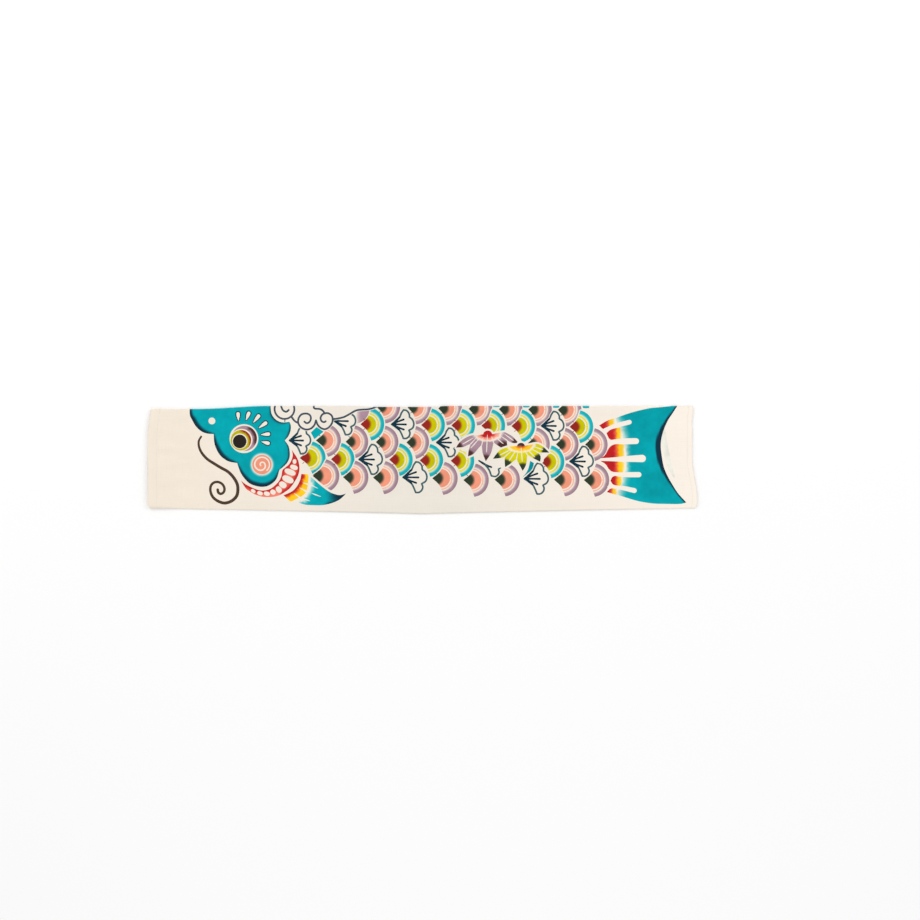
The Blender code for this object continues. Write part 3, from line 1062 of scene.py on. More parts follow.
@dataclass
class TailFin:
    """The tail: flames at its root, undyed fingers in it and a navy rear edge."""

    top: tuple[XY, ...] = ((312.5, 66.5), (324, 71.5), (340, 77), (356.5, 81.5), (373, 85), (389.5, 86.5),
                           (418, 89.5))
    rear: tuple[XY, ...] = ((418, 89.5), (409, 75.5), (402.5, 65.5), (396.5, 52.5), (392, 37.5),
                            (390.5, 23), (392.5, 3.5), (396, -13), (402.5, -28), (410, -41), (419, -55),
                            (432, -69.5))
    bottom: tuple[XY, ...] = ((432, -69.5), (422, -72), (402.5, -72), (381, -71.5), (364.5, -69.5),
                              (350, -66.5), (333.5, -61.5), (316, -56))
    root: tuple[XY, ...] = ((316, -56), (324, -33), (331, -11.5), (331, 16.5), (323, 44.5), (312.5, 66.5))
    fingers: tuple[tuple[tuple[XY, ...], tuple[float, ...]], ...] = (
        (((298, 50.5), (315.5, 56), (339, 62)), (2.5, 6.0, 7.5, 7.5)),
        (((307, 30.5), (324, 30.5), (350, 31)), (4.0, 8.5, 10.0, 9.6)),
        (((294, 0.5), (324, 1.5), (360, 2.5)), (1.0, 6.0, 10.0, 12.0)),
        (((309, -22.7), (327, -24), (354.5, -24)), (4.0, 7.0, 8.5, 8.5)),
        (((304, -44), (325.5, -45.5), (347, -50)), (2.5, 5.5, 7.5, 8.0)),
    )
    flames: tuple[tuple[tuple[XY, ...], ...], ...] = (
        (((289.5, 56.5), (299, 62.5), (308, 66.5), (315.5, 68.5)), ((315.5, 68.5), (319, 60)),
         ((319, 60), (299, 50.5), (289.5, 56.5))),
        (((301.5, 44), (308, 49.5), (318, 52.5), (324, 53.5)), ((324, 53.5), (329, 33.5)),
         ((329, 33.5), (313, 32.5), (306, 35), (301.5, 44))),
        (((291.5, 3), (299, 8), (304, 17), (309, 23), (317, 26), (331, 25.5)), ((331, 25.5), (334, 6.5)),
         ((334, 6.5), (310, 4), (291.5, 3))),
        (((291.5, -1.5), (310, -2), (334, -3.5)), ((334, -3.5), (331, -20.5)),
         ((331, -20.5), (312.5, -19.5), (305.5, -15), (300, -7), (291.5, -1.5))),
        (((308, -34), (311, -28), (317, -26), (329, -27)), ((329, -27), (325, -42.5)),
         ((325, -42.5), (313, -40.5), (308, -34))),
        (((302, -52.5), (309, -46.5), (320.5, -48.5)), ((320.5, -48.5), (317.5, -57)),
         ((317.5, -57), (302, -52.5))),
    )
    flame_ends: tuple[tuple[float, float], ...] = (
        (287, 315.5), (300, 327), (299, 331.5), (299, 331.5), (304, 327.5), (296.5, 319))
    shadow: float = 8.8

    def blade(self) -> Motif:
        """The teal blade, which fades in at its root and turns navy at its rear edge."""
        root, rear = curve(self.root), curve(self.rear)

        def paint(points: Array) -> Array:
            """The dye of the blade."""
            slow = 12 + 9 * ease(np.abs(points[:, 1] - 5) / 60)
            teal = ease((distance(root, points) + 1.3 * patches(points, 3.5, 11) + 1) / slow)
            cloudy = ease((patches(points, 42.0, 13) + 0.15) * 1.2) * 0.55
            wide = self.shadow * (1 - 0.78 * ease(np.abs(points[:, 1] - 18) / 72))
            dark = ease((wide - distance(rear, points)) / 2.6 + 0.6)
            colour = mix(Dye.CREAM.rgb, mix(Dye.TEAL.rgb, Dye.TEAL_DEEP.rgb, cloudy), teal)
            return mix(colour, Dye.NAVY.rgb, dark)

        grain = beside(rear, (1.5, 3.2, 5.2, 7.6, 10.0)) + beside(root, (2.5, 5.0, 8.0))
        return Motif(outline(self.top, self.rear, self.bottom, self.root), paint, [], grain, shaded=True)

    def flame(self, sides: tuple[tuple[XY, ...], ...], ends: tuple[float, float]) -> Motif:
        """One flame, red at its point and cream where the teal starts.

        Args:
            sides: the sides of its outline.
            ends: the x of its red point and of its cream end.

        Returns:
            The flame.
        """
        stops = [(0, Dye.RED), (0.44, Dye.RED), (0.57, Dye.VERMILION), (0.65, Dye.ORANGE), (0.72, Dye.GOLD),
                 (0.85, Dye.GOLD), (1, Dye.CREAM)]

        def paint(points: Array) -> Array:
            """The dye by place along the flame."""
            along = (points[:, 0] - ends[0]) / (ends[1] - ends[0])
            return ramp(along + 0.04 * patches(points, 3.0, 17), stops)

        return Motif(outline(*sides), paint, shaded=True)

    def motifs(self) -> list[Motif]:
        """The far layer's tail edge showing through the cloth, painted as a band of shade, then the blade,
        its flames and its fingers.
        """
        # painted shade: a greyer band where the far layer's tail edge would show through the cloth
        show_through_shade = stroke([(394, 62), (395.5, 40), (397.5, 23), (401, 6.5), (405.5, -11.5), (412.5, -28)],
                       [1.0, 7.0, 9.5, 9.5, 8.0, 3.0])
        made = [Motif(show_through_shade, flat(Dye.SHOW_THROUGH_SHADE)), self.blade()]
        made += [self.flame(sides, ends) for sides, ends in zip(self.flames, self.flame_ends)]
        made += [Motif(stroke(line, widths), flat(Dye.CREAM)) for line, widths in self.fingers]
        return made


def patches(points: Array, size: float, seed: int) -> Array:
    """Smooth random values from -1 to 1, in patches of a size, the same each time.

    Args:
        points: where they are wanted.
        size: the patches' width.
        seed: picks one field of values.

    Returns:
        One value for each point.
    """
    table = np.random.default_rng(seed).uniform(-1, 1, (64, 64))
    spot = points / size
    cell = np.floor(spot).astype(int)
    share = ease(spot - cell)
    i, j = cell[:, 0] % 64, cell[:, 1] % 64
    k, m = (i + 1) % 64, (j + 1) % 64
    low = table[i, j] * (1 - share[:, 0]) + table[k, j] * share[:, 0]
    high = table[i, m] * (1 - share[:, 0]) + table[k, m] * share[:, 0]
    return low * (1 - share[:, 1]) + high * share[:, 1]


# ----------------------------------------
# Node and mesh helpers
# ----------------------------------------


def add(tree: bpy.types.NodeTree, kind: str, inputs: dict[Any, Any] | None = None, **settings: Any) -> Any:
    """Adds a node to a tree.

    Args:
        tree: the shader's or the modifier's tree.
        kind: the node's type.
        inputs: for each input's name or number, its value or the output that feeds it.
        settings: the node's own properties.

    Returns:
        The node.
    """
    node = tree.nodes.new(kind)
    for name, value in settings.items():
        setattr(node, name, value)
    for name, value in (inputs or {}).items():
        if isinstance(value, bpy.types.NodeSocket):
            tree.links.new(value, node.inputs[name])
        else:
            node.inputs[name].default_value = value
    return node


def box_mm(node: str) -> tuple[Array, Array]:
    """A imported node's lowest and highest corners, in millimetres."""
    low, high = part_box(node)
    return np.array(low) / MM, np.array(high) / MM


def new_object(
    name: str, data: bpy.types.ID, material: bpy.types.Material | None = None
) -> bpy.types.Object:
    """Links new object data into the scene, in one material.

    Args:
        name: the object's name.
        data: its mesh, curve, light or camera.
        material: its material, where it has one.

    Returns:
        The object.
    """
    if material is not None:
        data.materials.append(material)
    obj = bpy.data.objects.new(name, data)
    bpy.context.scene.collection.objects.link(obj)
    return obj


def settled(obj: bpy.types.Object, name: str) -> bpy.types.Object:
    """Turns an object with live modifiers, or a curve, into a plain mesh piece.

    Args:
        obj: what it is made from, which is removed.
        name: the piece's name.

    Returns:
        The piece, smooth shaded and at the origin.
    """
    graph = bpy.context.evaluated_depsgraph_get()
    mesh = bpy.data.meshes.new_from_object(obj.evaluated_get(graph), depsgraph=graph)
    mesh.name = name
    mesh.shade_smooth()
    bpy.data.objects.remove(obj, do_unlink=True)
    piece = bpy.data.objects.new(name, mesh)
    bpy.context.scene.collection.objects.link(piece)
    return piece


# ----------------------------------------
# Finishes
# ----------------------------------------


WAVE_PERIOD = 2 * math.pi / 20  # a wave texture's period at a scale of 1


@dataclass(frozen=True)
class Finish:
    """What a surface is, and the numbers that its shader starts from."""

    name: str
    roughness: float
    metallic: float = 0.0

    def start(self) -> tuple[bpy.types.Material, bpy.types.NodeTree, Any]:
        """A new material, its tree and its shader with the plain numbers set."""
        material = bpy.data.materials.new(self.name)
        material.use_nodes = True
        tree = material.node_tree
        shader = tree.nodes["Principled BSDF"]
        shader.inputs["Roughness"].default_value = self.roughness
        shader.inputs["Metallic"].default_value = self.metallic
        return material, tree, shader


@dataclass(frozen=True)
class Cotton(Finish):
    """Plain-woven cotton sheeting, which scatters light softly and shows its thread and its slubs.

    Its threads lie 0.35 mm apart, which is too fine to show, so the weave is drawn at thread_pitch.

    Attributes:
        thread_pitch: the drawn spacing of the threads.
        slub: the length and width of a thick place in a thread.
        dye: the mesh attribute that holds the dyed colours, or none on undyed cloth.
        colour: the colour of undyed cloth.
    """

    thread_pitch: float = 1.5
    slub: XY = (34.0, 1.3)
    dye: str = ""
    colour: str = Dye.CREAM.value

    def threads(self, tree: bpy.types.NodeTree, place: Any, direction: str) -> Any:
        """The rounded rows of threads that run across one direction, from 0 to 1.

        Args:
            tree: the material's tree.
            place: the socket with places in mm.
            direction: X or Y.

        Returns:
            The socket with the rows.
        """
        scale = WAVE_PERIOD / self.thread_pitch
        inputs = {"Vector": place, "Scale": scale, "Distortion": 0.6, "Detail": 1.0, "Detail Scale": 0.4}
        return add(tree, "ShaderNodeTexWave", inputs, bands_direction=direction).outputs["Fac"]

    def slubs(self, tree: bpy.types.NodeTree, place: Any, size: XY) -> Any:
        """Streaks along the threads of one direction, from 0 to 1.

        Args:
            tree: the material's tree.
            place: the socket with places in mm.
            size: how large a streak is in X and in Y.

        Returns:
            The socket with the streaks.
        """
        stretched = add(tree, "ShaderNodeMapping", {"Vector": place, "Scale": (1 / size[0], 1 / size[1], 1)})
        inputs = {"Vector": stretched.outputs[0], "Scale": 1.0, "Detail": 2.0, "Roughness": 0.6}
        return add(tree, "ShaderNodeTexNoise", inputs).outputs["Fac"]

    def material(self) -> bpy.types.Material:
        """Builds the cloth's material.

        Returns:
            The material.
        """
        material, tree, shader = self.start()
        shader.inputs["Specular IOR Level"].default_value = 0.08
        shader.inputs["Sheen Weight"].default_value = 0.02
        shader.inputs["Sheen Roughness"].default_value = 0.5
        if self.dye:
            metres = add(tree, "ShaderNodeUVMap", uv_map="cloth").outputs[0]
            ground = add(tree, "ShaderNodeAttribute", attribute_name=self.dye).outputs["Color"]
        else:
            metres = add(tree, "ShaderNodeTexCoord").outputs["Object"]
            ground = add(tree, "ShaderNodeRGB").outputs[0]
            ground.default_value = linear_rgba(self.colour)
        in_mm = {"Vector": metres, "Scale": (1 / MM, 1 / MM, 1 / MM)}
        place = add(tree, "ShaderNodeMapping", in_mm).outputs[0]

        warp = self.slubs(tree, place, self.slub)
        weft = self.slubs(tree, place, (self.slub[1], self.slub[0]))
        streaks = add(tree, "ShaderNodeMath", {0: warp, 1: weft}, operation="ADD").outputs[0]
        cloudy = {"Vector": place, "Scale": 1 / 45, "Detail": 4.0, "Roughness": 0.62}
        cloud = add(tree, "ShaderNodeTexNoise", cloudy).outputs["Fac"]
        both = add(tree, "ShaderNodeMath", {0: cloud, 1: streaks}, operation="ADD").outputs[0]
        tone_range = {"Value": both, "From Min": 1.1, "From Max": 1.9, "To Min": 0.975, "To Max": 1.025}
        tone = add(tree, "ShaderNodeMapRange", tone_range).outputs[0]
        toned = add(tree, "ShaderNodeVectorMath", {0: ground, "Scale": tone}, operation="SCALE").outputs[0]
        tree.links.new(toned, shader.inputs["Base Color"])

        across = self.threads(tree, place, "X")
        along = self.threads(tree, place, "Y")
        weave = add(tree, "ShaderNodeMath", {0: across, 1: along}, operation="MULTIPLY").outputs[0]
        relief = {0: streaks, 1: 0.7, 2: weave}
        slubby = add(tree, "ShaderNodeMath", relief, operation="MULTIPLY_ADD").outputs[0]
        bump = add(tree, "ShaderNodeBump", {"Height": slubby, "Strength": 0.22, "Distance": 0.0002})
        tree.links.new(bump.outputs[0], shader.inputs["Normal"])
        return material


@dataclass(frozen=True)
class Thread(Finish):
    """Mercerised cotton thread: three plies twisted together, which give it a soft ribbed gloss, with
    painted shade in the grooves between the plies.
    """

    colour: str = "#F4EEE2"
    # painted shade: the darker colour laid in the grooves between the plies
    shade: str = "#D8CDBB"
    twist: float = 0.8  # the length of one turn of the plies along the thread

    def material(self) -> bpy.types.Material:
        """Builds the thread's material.

        Returns:
            The material.
        """
        material, tree, shader = self.start()
        shader.inputs["Sheen Weight"].default_value = 0.2
        place = add(tree, "ShaderNodeTexCoord").outputs["Object"]
        in_mm = {"Vector": place, "Scale": (1 / MM, 1 / MM, 1 / MM)}
        turned = add(tree, "ShaderNodeMapping", in_mm).outputs[0]
        scale = WAVE_PERIOD / self.twist
        ply = add(tree, "ShaderNodeTexWave", {"Vector": turned, "Scale": scale}, bands_direction="DIAGONAL")
        # the ply bands mix the thread's colour with the painted groove shade
        shades = {0: ply.outputs["Fac"], 6: linear_rgba(self.shade), 7: linear_rgba(self.colour)}
        mixed = add(tree, "ShaderNodeMix", shades, data_type="RGBA")
        tree.links.new(mixed.outputs[2], shader.inputs["Base Color"])
        ribs = {"Height": ply.outputs["Fac"], "Strength": 0.4, "Distance": 0.0001}
        bump = add(tree, "ShaderNodeBump", ribs)
        tree.links.new(bump.outputs[0], shader.inputs["Normal"])
        return material


@dataclass(frozen=True)
class SoftWire(Finish):
    """Annealed galvanised wire, whose zinc has dulled unevenly to a soft grey."""

    bright: str = "#C9CBCC"
    dull: str = "#8F9396"
    spangle: float = 2.5  # the width of a patch in the zinc

    def material(self) -> bpy.types.Material:
        """Builds the wire's material.

        Returns:
            The material.
        """
        material, tree, shader = self.start()
        place = add(tree, "ShaderNodeTexCoord").outputs["Object"]
        noise_inputs = {"Vector": place, "Scale": 1 / (self.spangle * MM), "Detail": 3.0}
        noise = add(tree, "ShaderNodeTexNoise", noise_inputs)
        shades = {0: noise.outputs["Fac"], 6: linear_rgba(self.dull), 7: linear_rgba(self.bright)}
        mixed = add(tree, "ShaderNodeMix", shades, data_type="RGBA")
        tree.links.new(mixed.outputs[2], shader.inputs["Base Color"])
        pits = {"Height": noise.outputs["Fac"], "Strength": 0.2, "Distance": 0.0001}
        bump = add(tree, "ShaderNodeBump", pits)
        tree.links.new(bump.outputs[0], shader.inputs["Normal"])
        return material


@dataclass(frozen=True)
class Paper(Finish):
    """A white studio floor of matt paper."""

    colour: str = "#FDFDFD"

    def material(self) -> bpy.types.Material:
        """Builds the floor's material.

        Returns:
            The material.
        """
        material, _, shader = self.start()
        shader.inputs["Base Color"].default_value = linear_rgba(self.colour)
        shader.inputs["Specular IOR Level"].default_value = 0.0
        return material


# ----------------------------------------
# The tube and how it lies
# ----------------------------------------


@dataclass
class Tube:
    """The flattened tube's outline and sections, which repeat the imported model's.

    Attributes:
        mouth: x of the mouth's rim.
        tail: x of the tail's edge.
        back: y of the back fold.
        belly: y of the belly seam where the tube is widest.
        body_height: the thickness of the flat tube.
        mouth_height: its thickness at the wire's casing.
    """

    mouth: float
    tail: float
    back: float
    belly: float
    body_height: float
    mouth_height: float
    mouth_drop: float = 5.0
    mouth_low: float = 80.0
    mouth_climb: float = 120.0
    back_dip: float = 1.6
    belly_rise: float = 9.8
    belly_bend: float = 0.85
    casing: float = 16.5
    taper: float = 40.0
    cloth: float = 0.4
    casing_wall: float = 2.2
    hem_wall: float = 1.0
    casing_hem: float = 15.0
    tail_hem: float = 8.0

    @classmethod
    def from_frame(cls) -> "Tube":
        """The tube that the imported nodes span."""
        casing_low, casing_high = box_mm("mouth_casing")
        _, hem_high = box_mm("tail_hem")
        half_low, half_high = box_mm("cloth_tail_half")
        return cls(
            mouth=float(round(casing_low[0])),
            tail=float(round(hem_high[0])),
            back=float(half_high[1]),
            belly=float(half_low[1]),
            body_height=float(half_high[2]),
            mouth_height=float(casing_high[2]),
        )

    def back_edge(self, x: Array) -> Array:
        """The y of the back fold, which dips a little where the cloth was folded by hand.

        Args:
            x: places along the tube.

        Returns:
            A y for each place.
        """
        climb = ease((x - self.mouth - self.mouth_low) / self.mouth_climb)
        dip = self.back_dip * ease((x + 125) / 50) * (1 - ease((x - 5) / 40))
        return self.back - self.mouth_drop * (1 - climb) - dip

    def belly_edge(self, x: Array) -> Array:
        """The y of the belly seam: a shallow V."""
        return self.belly + self.belly_rise * np.abs(2 * x / (self.tail - self.mouth)) ** self.belly_bend

    def mouth_rim(self, y: Array) -> Array:
        """The x of the mouth's rim, which is drawn in at its corners."""
        return self.mouth + 5.0 * ease((y - 36) / 50) + 2.5 * ease((-71 - y) / 10)

    def tail_rim(self, y: Array) -> Array:
        """The x of the tail's edge, cut a little aslant."""
        return self.tail - 8.2 * ease((y + 62) / 66) + 1.6 * ease((y - 64) / 18) - 3.0 * ease((-71 - y) / 10)

    def half_height(self, x: Array) -> Array:
        """Half the thickness of the flat tube."""
        casing = ease((x - self.mouth - self.casing) / self.taper)
        return (self.mouth_height + (self.body_height - self.mouth_height) * casing) / 2

    def wall(self, x: Array, y: Array) -> Array:
        """The thickness of one layer: the cloth, or a hem with what it holds.

        Args:
            x: places along the tube.
            y: places across it.

        Returns:
            A thickness for each place.
        """
        from_mouth = x - self.mouth_rim(y)
        from_tail = self.tail_rim(y) - x
        casing = 1 - ease((from_mouth - self.casing_hem + 1.5) / 2.5)
        hem = 1 - ease((from_tail - self.tail_hem + 1.0) / 1.5)
        return self.cloth + (self.casing_wall - self.cloth) * casing + (self.hem_wall - self.cloth) * hem

    def rim_inset(self, from_rim: Array, wall: Array) -> Array:
        """How far the outer face turns in as it rolls over a rim.

        Args:
            from_rim: distances from the rim.
            wall: the thickness there.

        Returns:
            A depth for each distance.
        """
        radius = wall / 2
        share = np.clip(from_rim / radius, 0, 1)
        return radius * (1 - np.sqrt(1 - (1 - share) ** 2))

    def place(self, x: Array, y: Array, inset: Array, near: bool, from_fold: Array | None = None) -> Array:
        """Lifts flat points onto the tube.

        Args:
            x: places along the tube.
            y: places across it.
            inset: depths below its outer face.
            near: whether they lie on the near, upper layer.
            from_fold: distances from the nearer side edge, where they are known exactly.

        Returns:
            The points in metres.
        """
        from_back, from_belly = self.back_edge(x) - y, y - self.belly_edge(x)
        if from_fold is None:
            from_fold = np.minimum(from_back, from_belly)
        half = self.half_height(x)
        out = np.clip(from_fold / half, 0, 1)
        flatness = np.sqrt(np.clip(out * (2 - out), 0, 1))
        side = np.where(from_back < from_belly, 1.0, -1.0)
        y_in = y - side * inset * (1 - out)
        rise = (half - inset) * flatness
        z = half + rise + self.near_lift(x, y) if near else half - rise + self.far_lift(x, y)
        return np.stack([x, y_in, z], axis=1) * MM

    def near_lift(self, x: Array, y: Array) -> Array:
        """How much higher than a full tube the near layer lies: it sinks between the folds, with creases.

        Args:
            x: places along the tube.
            y: places across it.

        Returns:
            A height for each place.
        """
        from_back, from_belly = self.back_edge(x) - y, y - self.belly_edge(x)
        from_mouth, from_tail = x - self.mouth_rim(y), self.tail_rim(y) - x
        room = self.body_height - 2 * self.cloth - 0.2
        sag = room * ease((from_back - 1.5) / 22) * ease((from_belly - 13) / 24)
        sag = sag * ease((from_mouth - 20) / 60) * (0.25 + 0.75 * ease((from_tail - 9) / 34))
        spots = np.stack([x, y], axis=1)
        calm = ease((np.minimum(from_back, from_belly) - 0.5) / 14)
        rolling = 0.55 * ease(0.5 + 0.5 * patches(spots * [0.6, 1.0], 34.0, 23))
        rolling += 0.30 * ease(0.5 + 0.5 * patches(spots * [1.0, 0.8], 17.0, 29))
        lift = rolling * calm - sag
        return lift + self.gathers(x, y, from_mouth) * calm + self.puckers(y, from_mouth, from_tail) * calm

    def gathers(self, x: Array, y: Array, from_mouth: Array) -> Array:
        """Soft folds that run back from the mouth, and the creases behind them.

        Args:
            x: places along the tube.
            y: places across it.
            from_mouth: distances from the mouth's rim.

        Returns:
            A height for each place.
        """
        folds = ((22, 4.5, 0.8), (12, 5.0, -0.5), (-9, 4.5, 0.7), (-20, 5.5, -0.5), (-38, 5.0, 0.8),
                 (-50, 5.0, -0.4), (48, 6.0, 0.5))
        fade = ease((from_mouth - 12) / 12) * (1 - ease((from_mouth - 34) / 60))
        total = np.zeros_like(x)
        for middle, width, height in folds:
            drift = middle + 0.06 * from_mouth * math.copysign(1, -middle)
            total += height * np.exp(-(((y - drift) / width) ** 2)) * fade
        points = np.stack([x, y], axis=1)
        for start, end, width, height in (
            ((-405, -47), (-380, -76), 3.6, 0.7),
            ((-414, -52), (-396, -74), 3.2, -0.4),
            ((-398, 12), (-340, 2), 4.0, 0.5),
            ((-402, -30), (-352, -34), 4.0, 0.45),
            ((431, 60), (425, -62), 3.0, 0.35),
        ):
            total += height * np.exp(-((distance(np.array([start, end], float), points) / width) ** 2))
        return total

    def puckers(self, y: Array, from_mouth: Array, from_tail: Array) -> Array:
        """The furrows that the rows of stitches pull.

        Args:
            y: places across the tube.
            from_mouth: distances from the mouth's rim.
            from_tail: distances from the tail's edge.

        Returns:
            A height for each place.
        """
        ripple = 0.75 + 0.25 * np.sin(2 * math.pi * y / 7.0)
        mouth = np.exp(-(((from_mouth - self.casing_hem) / 1.6) ** 2))
        tail = np.exp(-(((from_tail - self.tail_hem) / 1.3) ** 2))
        return -(0.4 * mouth + 0.28 * tail) * ripple

    def far_lift(self, x: Array, y: Array) -> Array:
        """How far the far layer lies off the floor, in shallow waves and where its stitches draw it up.

        Args:
            x: places along the tube.
            y: places across it.

        Returns:
            A height for each place.
        """
        from_fold = np.minimum(self.back_edge(x) - y, y - self.belly_edge(x))
        waves = 0.35 * ease(0.5 + 0.5 * patches(np.stack([x, y], axis=1), 40.0, 31))
        waves = waves * ease((from_fold - 0.5) / 14) * ease((x - self.mouth - 30) / 40)
        from_stitches = (x - self.mouth_rim(y) - self.casing_hem, self.tail_rim(y) - x - self.tail_hem)
        furrows = [0.45 * np.exp(-((away / 2.4) ** 2)) for away in from_stitches]
        return waves + (furrows[0] + furrows[1]) * ease(from_fold / 3)

    def ring(self, from_rim: float, at_tail: bool, inset: float) -> Array:
        """A loop of points round the tube at a distance from one of its rims.

        Args:
            from_rim: the distance from the rim.
            at_tail: whether that rim is the tail's.
            inset: the depth below the outer face.

        Returns:
            The points in metres, first over the near layer and then under the far one.
        """
        def across(y: Array) -> Array:
            """The ring's x at each y."""
            return self.tail_rim(y) - from_rim if at_tail else self.mouth_rim(y) + from_rim

        ends = np.array([self.back, self.belly])
        for _ in range(3):
            x = across(ends)
            ends = np.array([self.back_edge(x)[0], self.belly_edge(x)[1]])
        half = float(self.half_height(across(ends))[0])
        turn = 1 - np.cos(np.linspace(0, math.pi / 2, 7))
        flat_run = np.linspace(ends[0] - half, ends[1] + half, 70)[1:-1]
        y = np.concatenate([ends[0] - half * turn, flat_run, ends[1] + half * turn[::-1]])
        fold = np.minimum(ends[0] - y, y - ends[1])
        level = np.full_like(y, inset)
        over = self.place(across(y), y, level, True, fold)
        under = self.place(across(y), y, level, False, fold)[::-1]
        return np.vstack([over, under[1:-1]])


# ----------------------------------------
# The printed cloth
# ----------------------------------------


@dataclass
class Raster:
    """A coarse map of where points already lie, which keeps new ones from crowding them."""

    low: XY = (-460.0, -100.0)
    cell: float = 0.5
    taken: Array = field(default_factory=lambda: np.zeros((1840, 400), bool))

    def cells(self, points: Array) -> tuple[Array, Array]:
        """The map cells of some points."""
        spots = ((points - self.low) / self.cell).astype(int)
        return np.clip(spots[:, 0], 8, 1831), np.clip(spots[:, 1], 8, 391)

    def free(self, points: Array, margin: int) -> Array:
        """The points with no taken cell within a margin of cells, thinned among themselves.

        Args:
            points: points on the flat cloth.
            margin: how many cells round each point are looked at.

        Returns:
            The points that stay.
        """
        kept = []
        columns, rows = self.cells(points)
        for point, i, j in zip(points, columns, rows):
            if not self.taken[i - margin : i + margin + 1, j - margin : j + margin + 1].any():
                self.taken[i, j] = True
                kept.append(point)
        return np.array(kept).reshape(-1, 2)

    def take(self, points: Array) -> None:
        """Marks the cells of some points as taken."""
        self.taken[self.cells(points)] = True


@dataclass
class PrintedCloth:
    """The whole tube as one closed mesh: outer faces with the carp, inner faces, and both rolled rims.

    Attributes:
        tube: its form.
        motifs: its drawing, in the order that it is brushed.
        edge_step: the spacing of points along its side edges and rims.
        shaded_step: the spacing of points where a colour changes softly.
        plain_step: their spacing elsewhere.
        inner_step: their spacing inside the tube.
        bend: half the width of the band across its middle where columns of points lie close together.
        side_rows: distances of the rows of points beside the side folds.
        rim_rows: distances of those beside the rims.
        casing_rows: where the inner face steps down behind the mouth's casing.
        hem_rows: where it steps down before the tail's hem.
        ground: the colour of the undyed ground at places along it, darker and greyer in the middle and
            lightest at the tail.
    """

    tube: Tube
    motifs: list[Motif]
    edge_step: float = 2.4
    shaded_step: float = 2.7
    plain_step: float = 4.6
    inner_step: float = 8.0
    bend: float = 3.0
    side_rows: tuple[float, ...] = (0.1, 0.35, 0.75, 1.3, 2.2)
    rim_rows: tuple[float, ...] = (0.1, 0.35, 0.7, 1.15, 2.0)
    casing_rows: tuple[float, ...] = (13.4, 14.2, 15.0, 16.1)
    hem_rows: tuple[float, ...] = (6.9, 7.7, 8.6)
    ground: tuple[tuple[float, str], ...] = (
        (-450, "#F2E6D6"), (-330, "#F2E7D8"), (-200, "#EFE7DA"), (-60, "#EBE4D8"), (60, "#EBE4D8"),
        (250, "#F3EADD"), (450, "#FBF2E5"),
    )

    def border(self) -> Array:
        """The flat outline, from the back of the mouth round by the tail and the belly."""
        tube, step = self.tube, self.edge_step
        corners = {}
        for name, rim, side in (
            ("mouth back", tube.mouth_rim, tube.back_edge),
            ("tail back", tube.tail_rim, tube.back_edge),
            ("tail belly", tube.tail_rim, tube.belly_edge),
            ("mouth belly", tube.mouth_rim, tube.belly_edge),
        ):
            x, y = np.array([0.0]), np.array([0.0])
            for _ in range(12):
                y = side(x)
                x = rim(y)
            corners[name] = (float(x[0]), float(y[0]))

        def spread(start: float, end: float) -> Array:
            """Evenly spaced places from one to the other."""
            return np.linspace(start, end, max(2, int(abs(end - start) / step)))[:-1]

        x_back = spread(corners["mouth back"][0], corners["tail back"][0])
        y_tail = spread(corners["tail back"][1], corners["tail belly"][1])
        x_belly = spread(corners["tail belly"][0], corners["mouth belly"][0])
        y_mouth = spread(corners["mouth belly"][1], corners["mouth back"][1])
        return np.vstack([
            np.stack([x_back, tube.back_edge(x_back)], axis=1),
            np.stack([tube.tail_rim(y_tail), y_tail], axis=1),
            np.stack([x_belly, tube.belly_edge(x_belly)], axis=1),
            np.stack([tube.mouth_rim(y_mouth), y_mouth], axis=1),
        ])

    def depths(self, points: Array) -> tuple[Array, Array, Array, Array]:
        """Distances inwards from the back, the belly, the mouth's rim and the tail's edge.

        Args:
            points: points on the flat cloth.

        Returns:
            The four distances of each point.
        """
        x, y = points.T
        return (self.tube.back_edge(x) - y, y - self.tube.belly_edge(x),
                x - self.tube.mouth_rim(y), self.tube.tail_rim(y) - x)

    def within(self, points: Array, margin: float = 0.0) -> Array:
        """Which points lie on the cloth, at least a margin from its edges."""
        return np.min(self.depths(points), axis=0) > margin

    def edge_rows(self) -> Array:
        """Rows of points beside the edges, where the cloth turns round."""
        tube = self.tube
        x = np.arange(tube.mouth, tube.tail, self.edge_step)
        y = np.arange(tube.belly, tube.back, self.edge_step)
        rows = [np.stack([x, tube.back_edge(x) - d], axis=1) for d in self.side_rows]
        rows += [np.stack([x, tube.belly_edge(x) + d], axis=1) for d in self.side_rows]
        rows += [np.stack([tube.mouth_rim(y) + d, y], axis=1) for d in self.rim_rows]
        rows += [np.stack([tube.tail_rim(y) - d, y], axis=1) for d in self.rim_rows]
        rows += [np.stack([tube.mouth_rim(y) + tube.casing_hem + d, y], axis=1) for d in (-1.5, 0, 1.5)]
        rows += [np.stack([tube.tail_rim(y) - tube.tail_hem + d, y], axis=1) for d in (-1.2, 0, 1.2)]
        points = np.vstack(rows)
        return points[self.within(points, 0.09)]

    def lattice(self, step: float, low: Sequence[float], high: Sequence[float]) -> Array:
        """A triangular grid of points between two corners.

        Args:
            step: how far apart the points lie.
            low: the lowest x and y.
            high: the highest x and y.

        Returns:
            The grid's points.
        """
        xs = np.arange(low[0], high[0], step)
        ys = np.arange(low[1], high[1], step * 0.87)
        grid = np.stack(np.meshgrid(xs, ys, indexing="ij"), axis=-1)
        grid[:, 1::2, 0] += step / 2
        return grid.reshape(-1, 2)

    def triangles(self) -> tuple[Array, Array]:
        """The flat cloth, cut into triangles along every edge where its colour changes at once.

        Returns:
            The points, and the triangles as rows of three point numbers.
        """
        points: list[Array] = []
        edges: list[tuple[int, int]] = []
        raster = Raster()
        count = 0

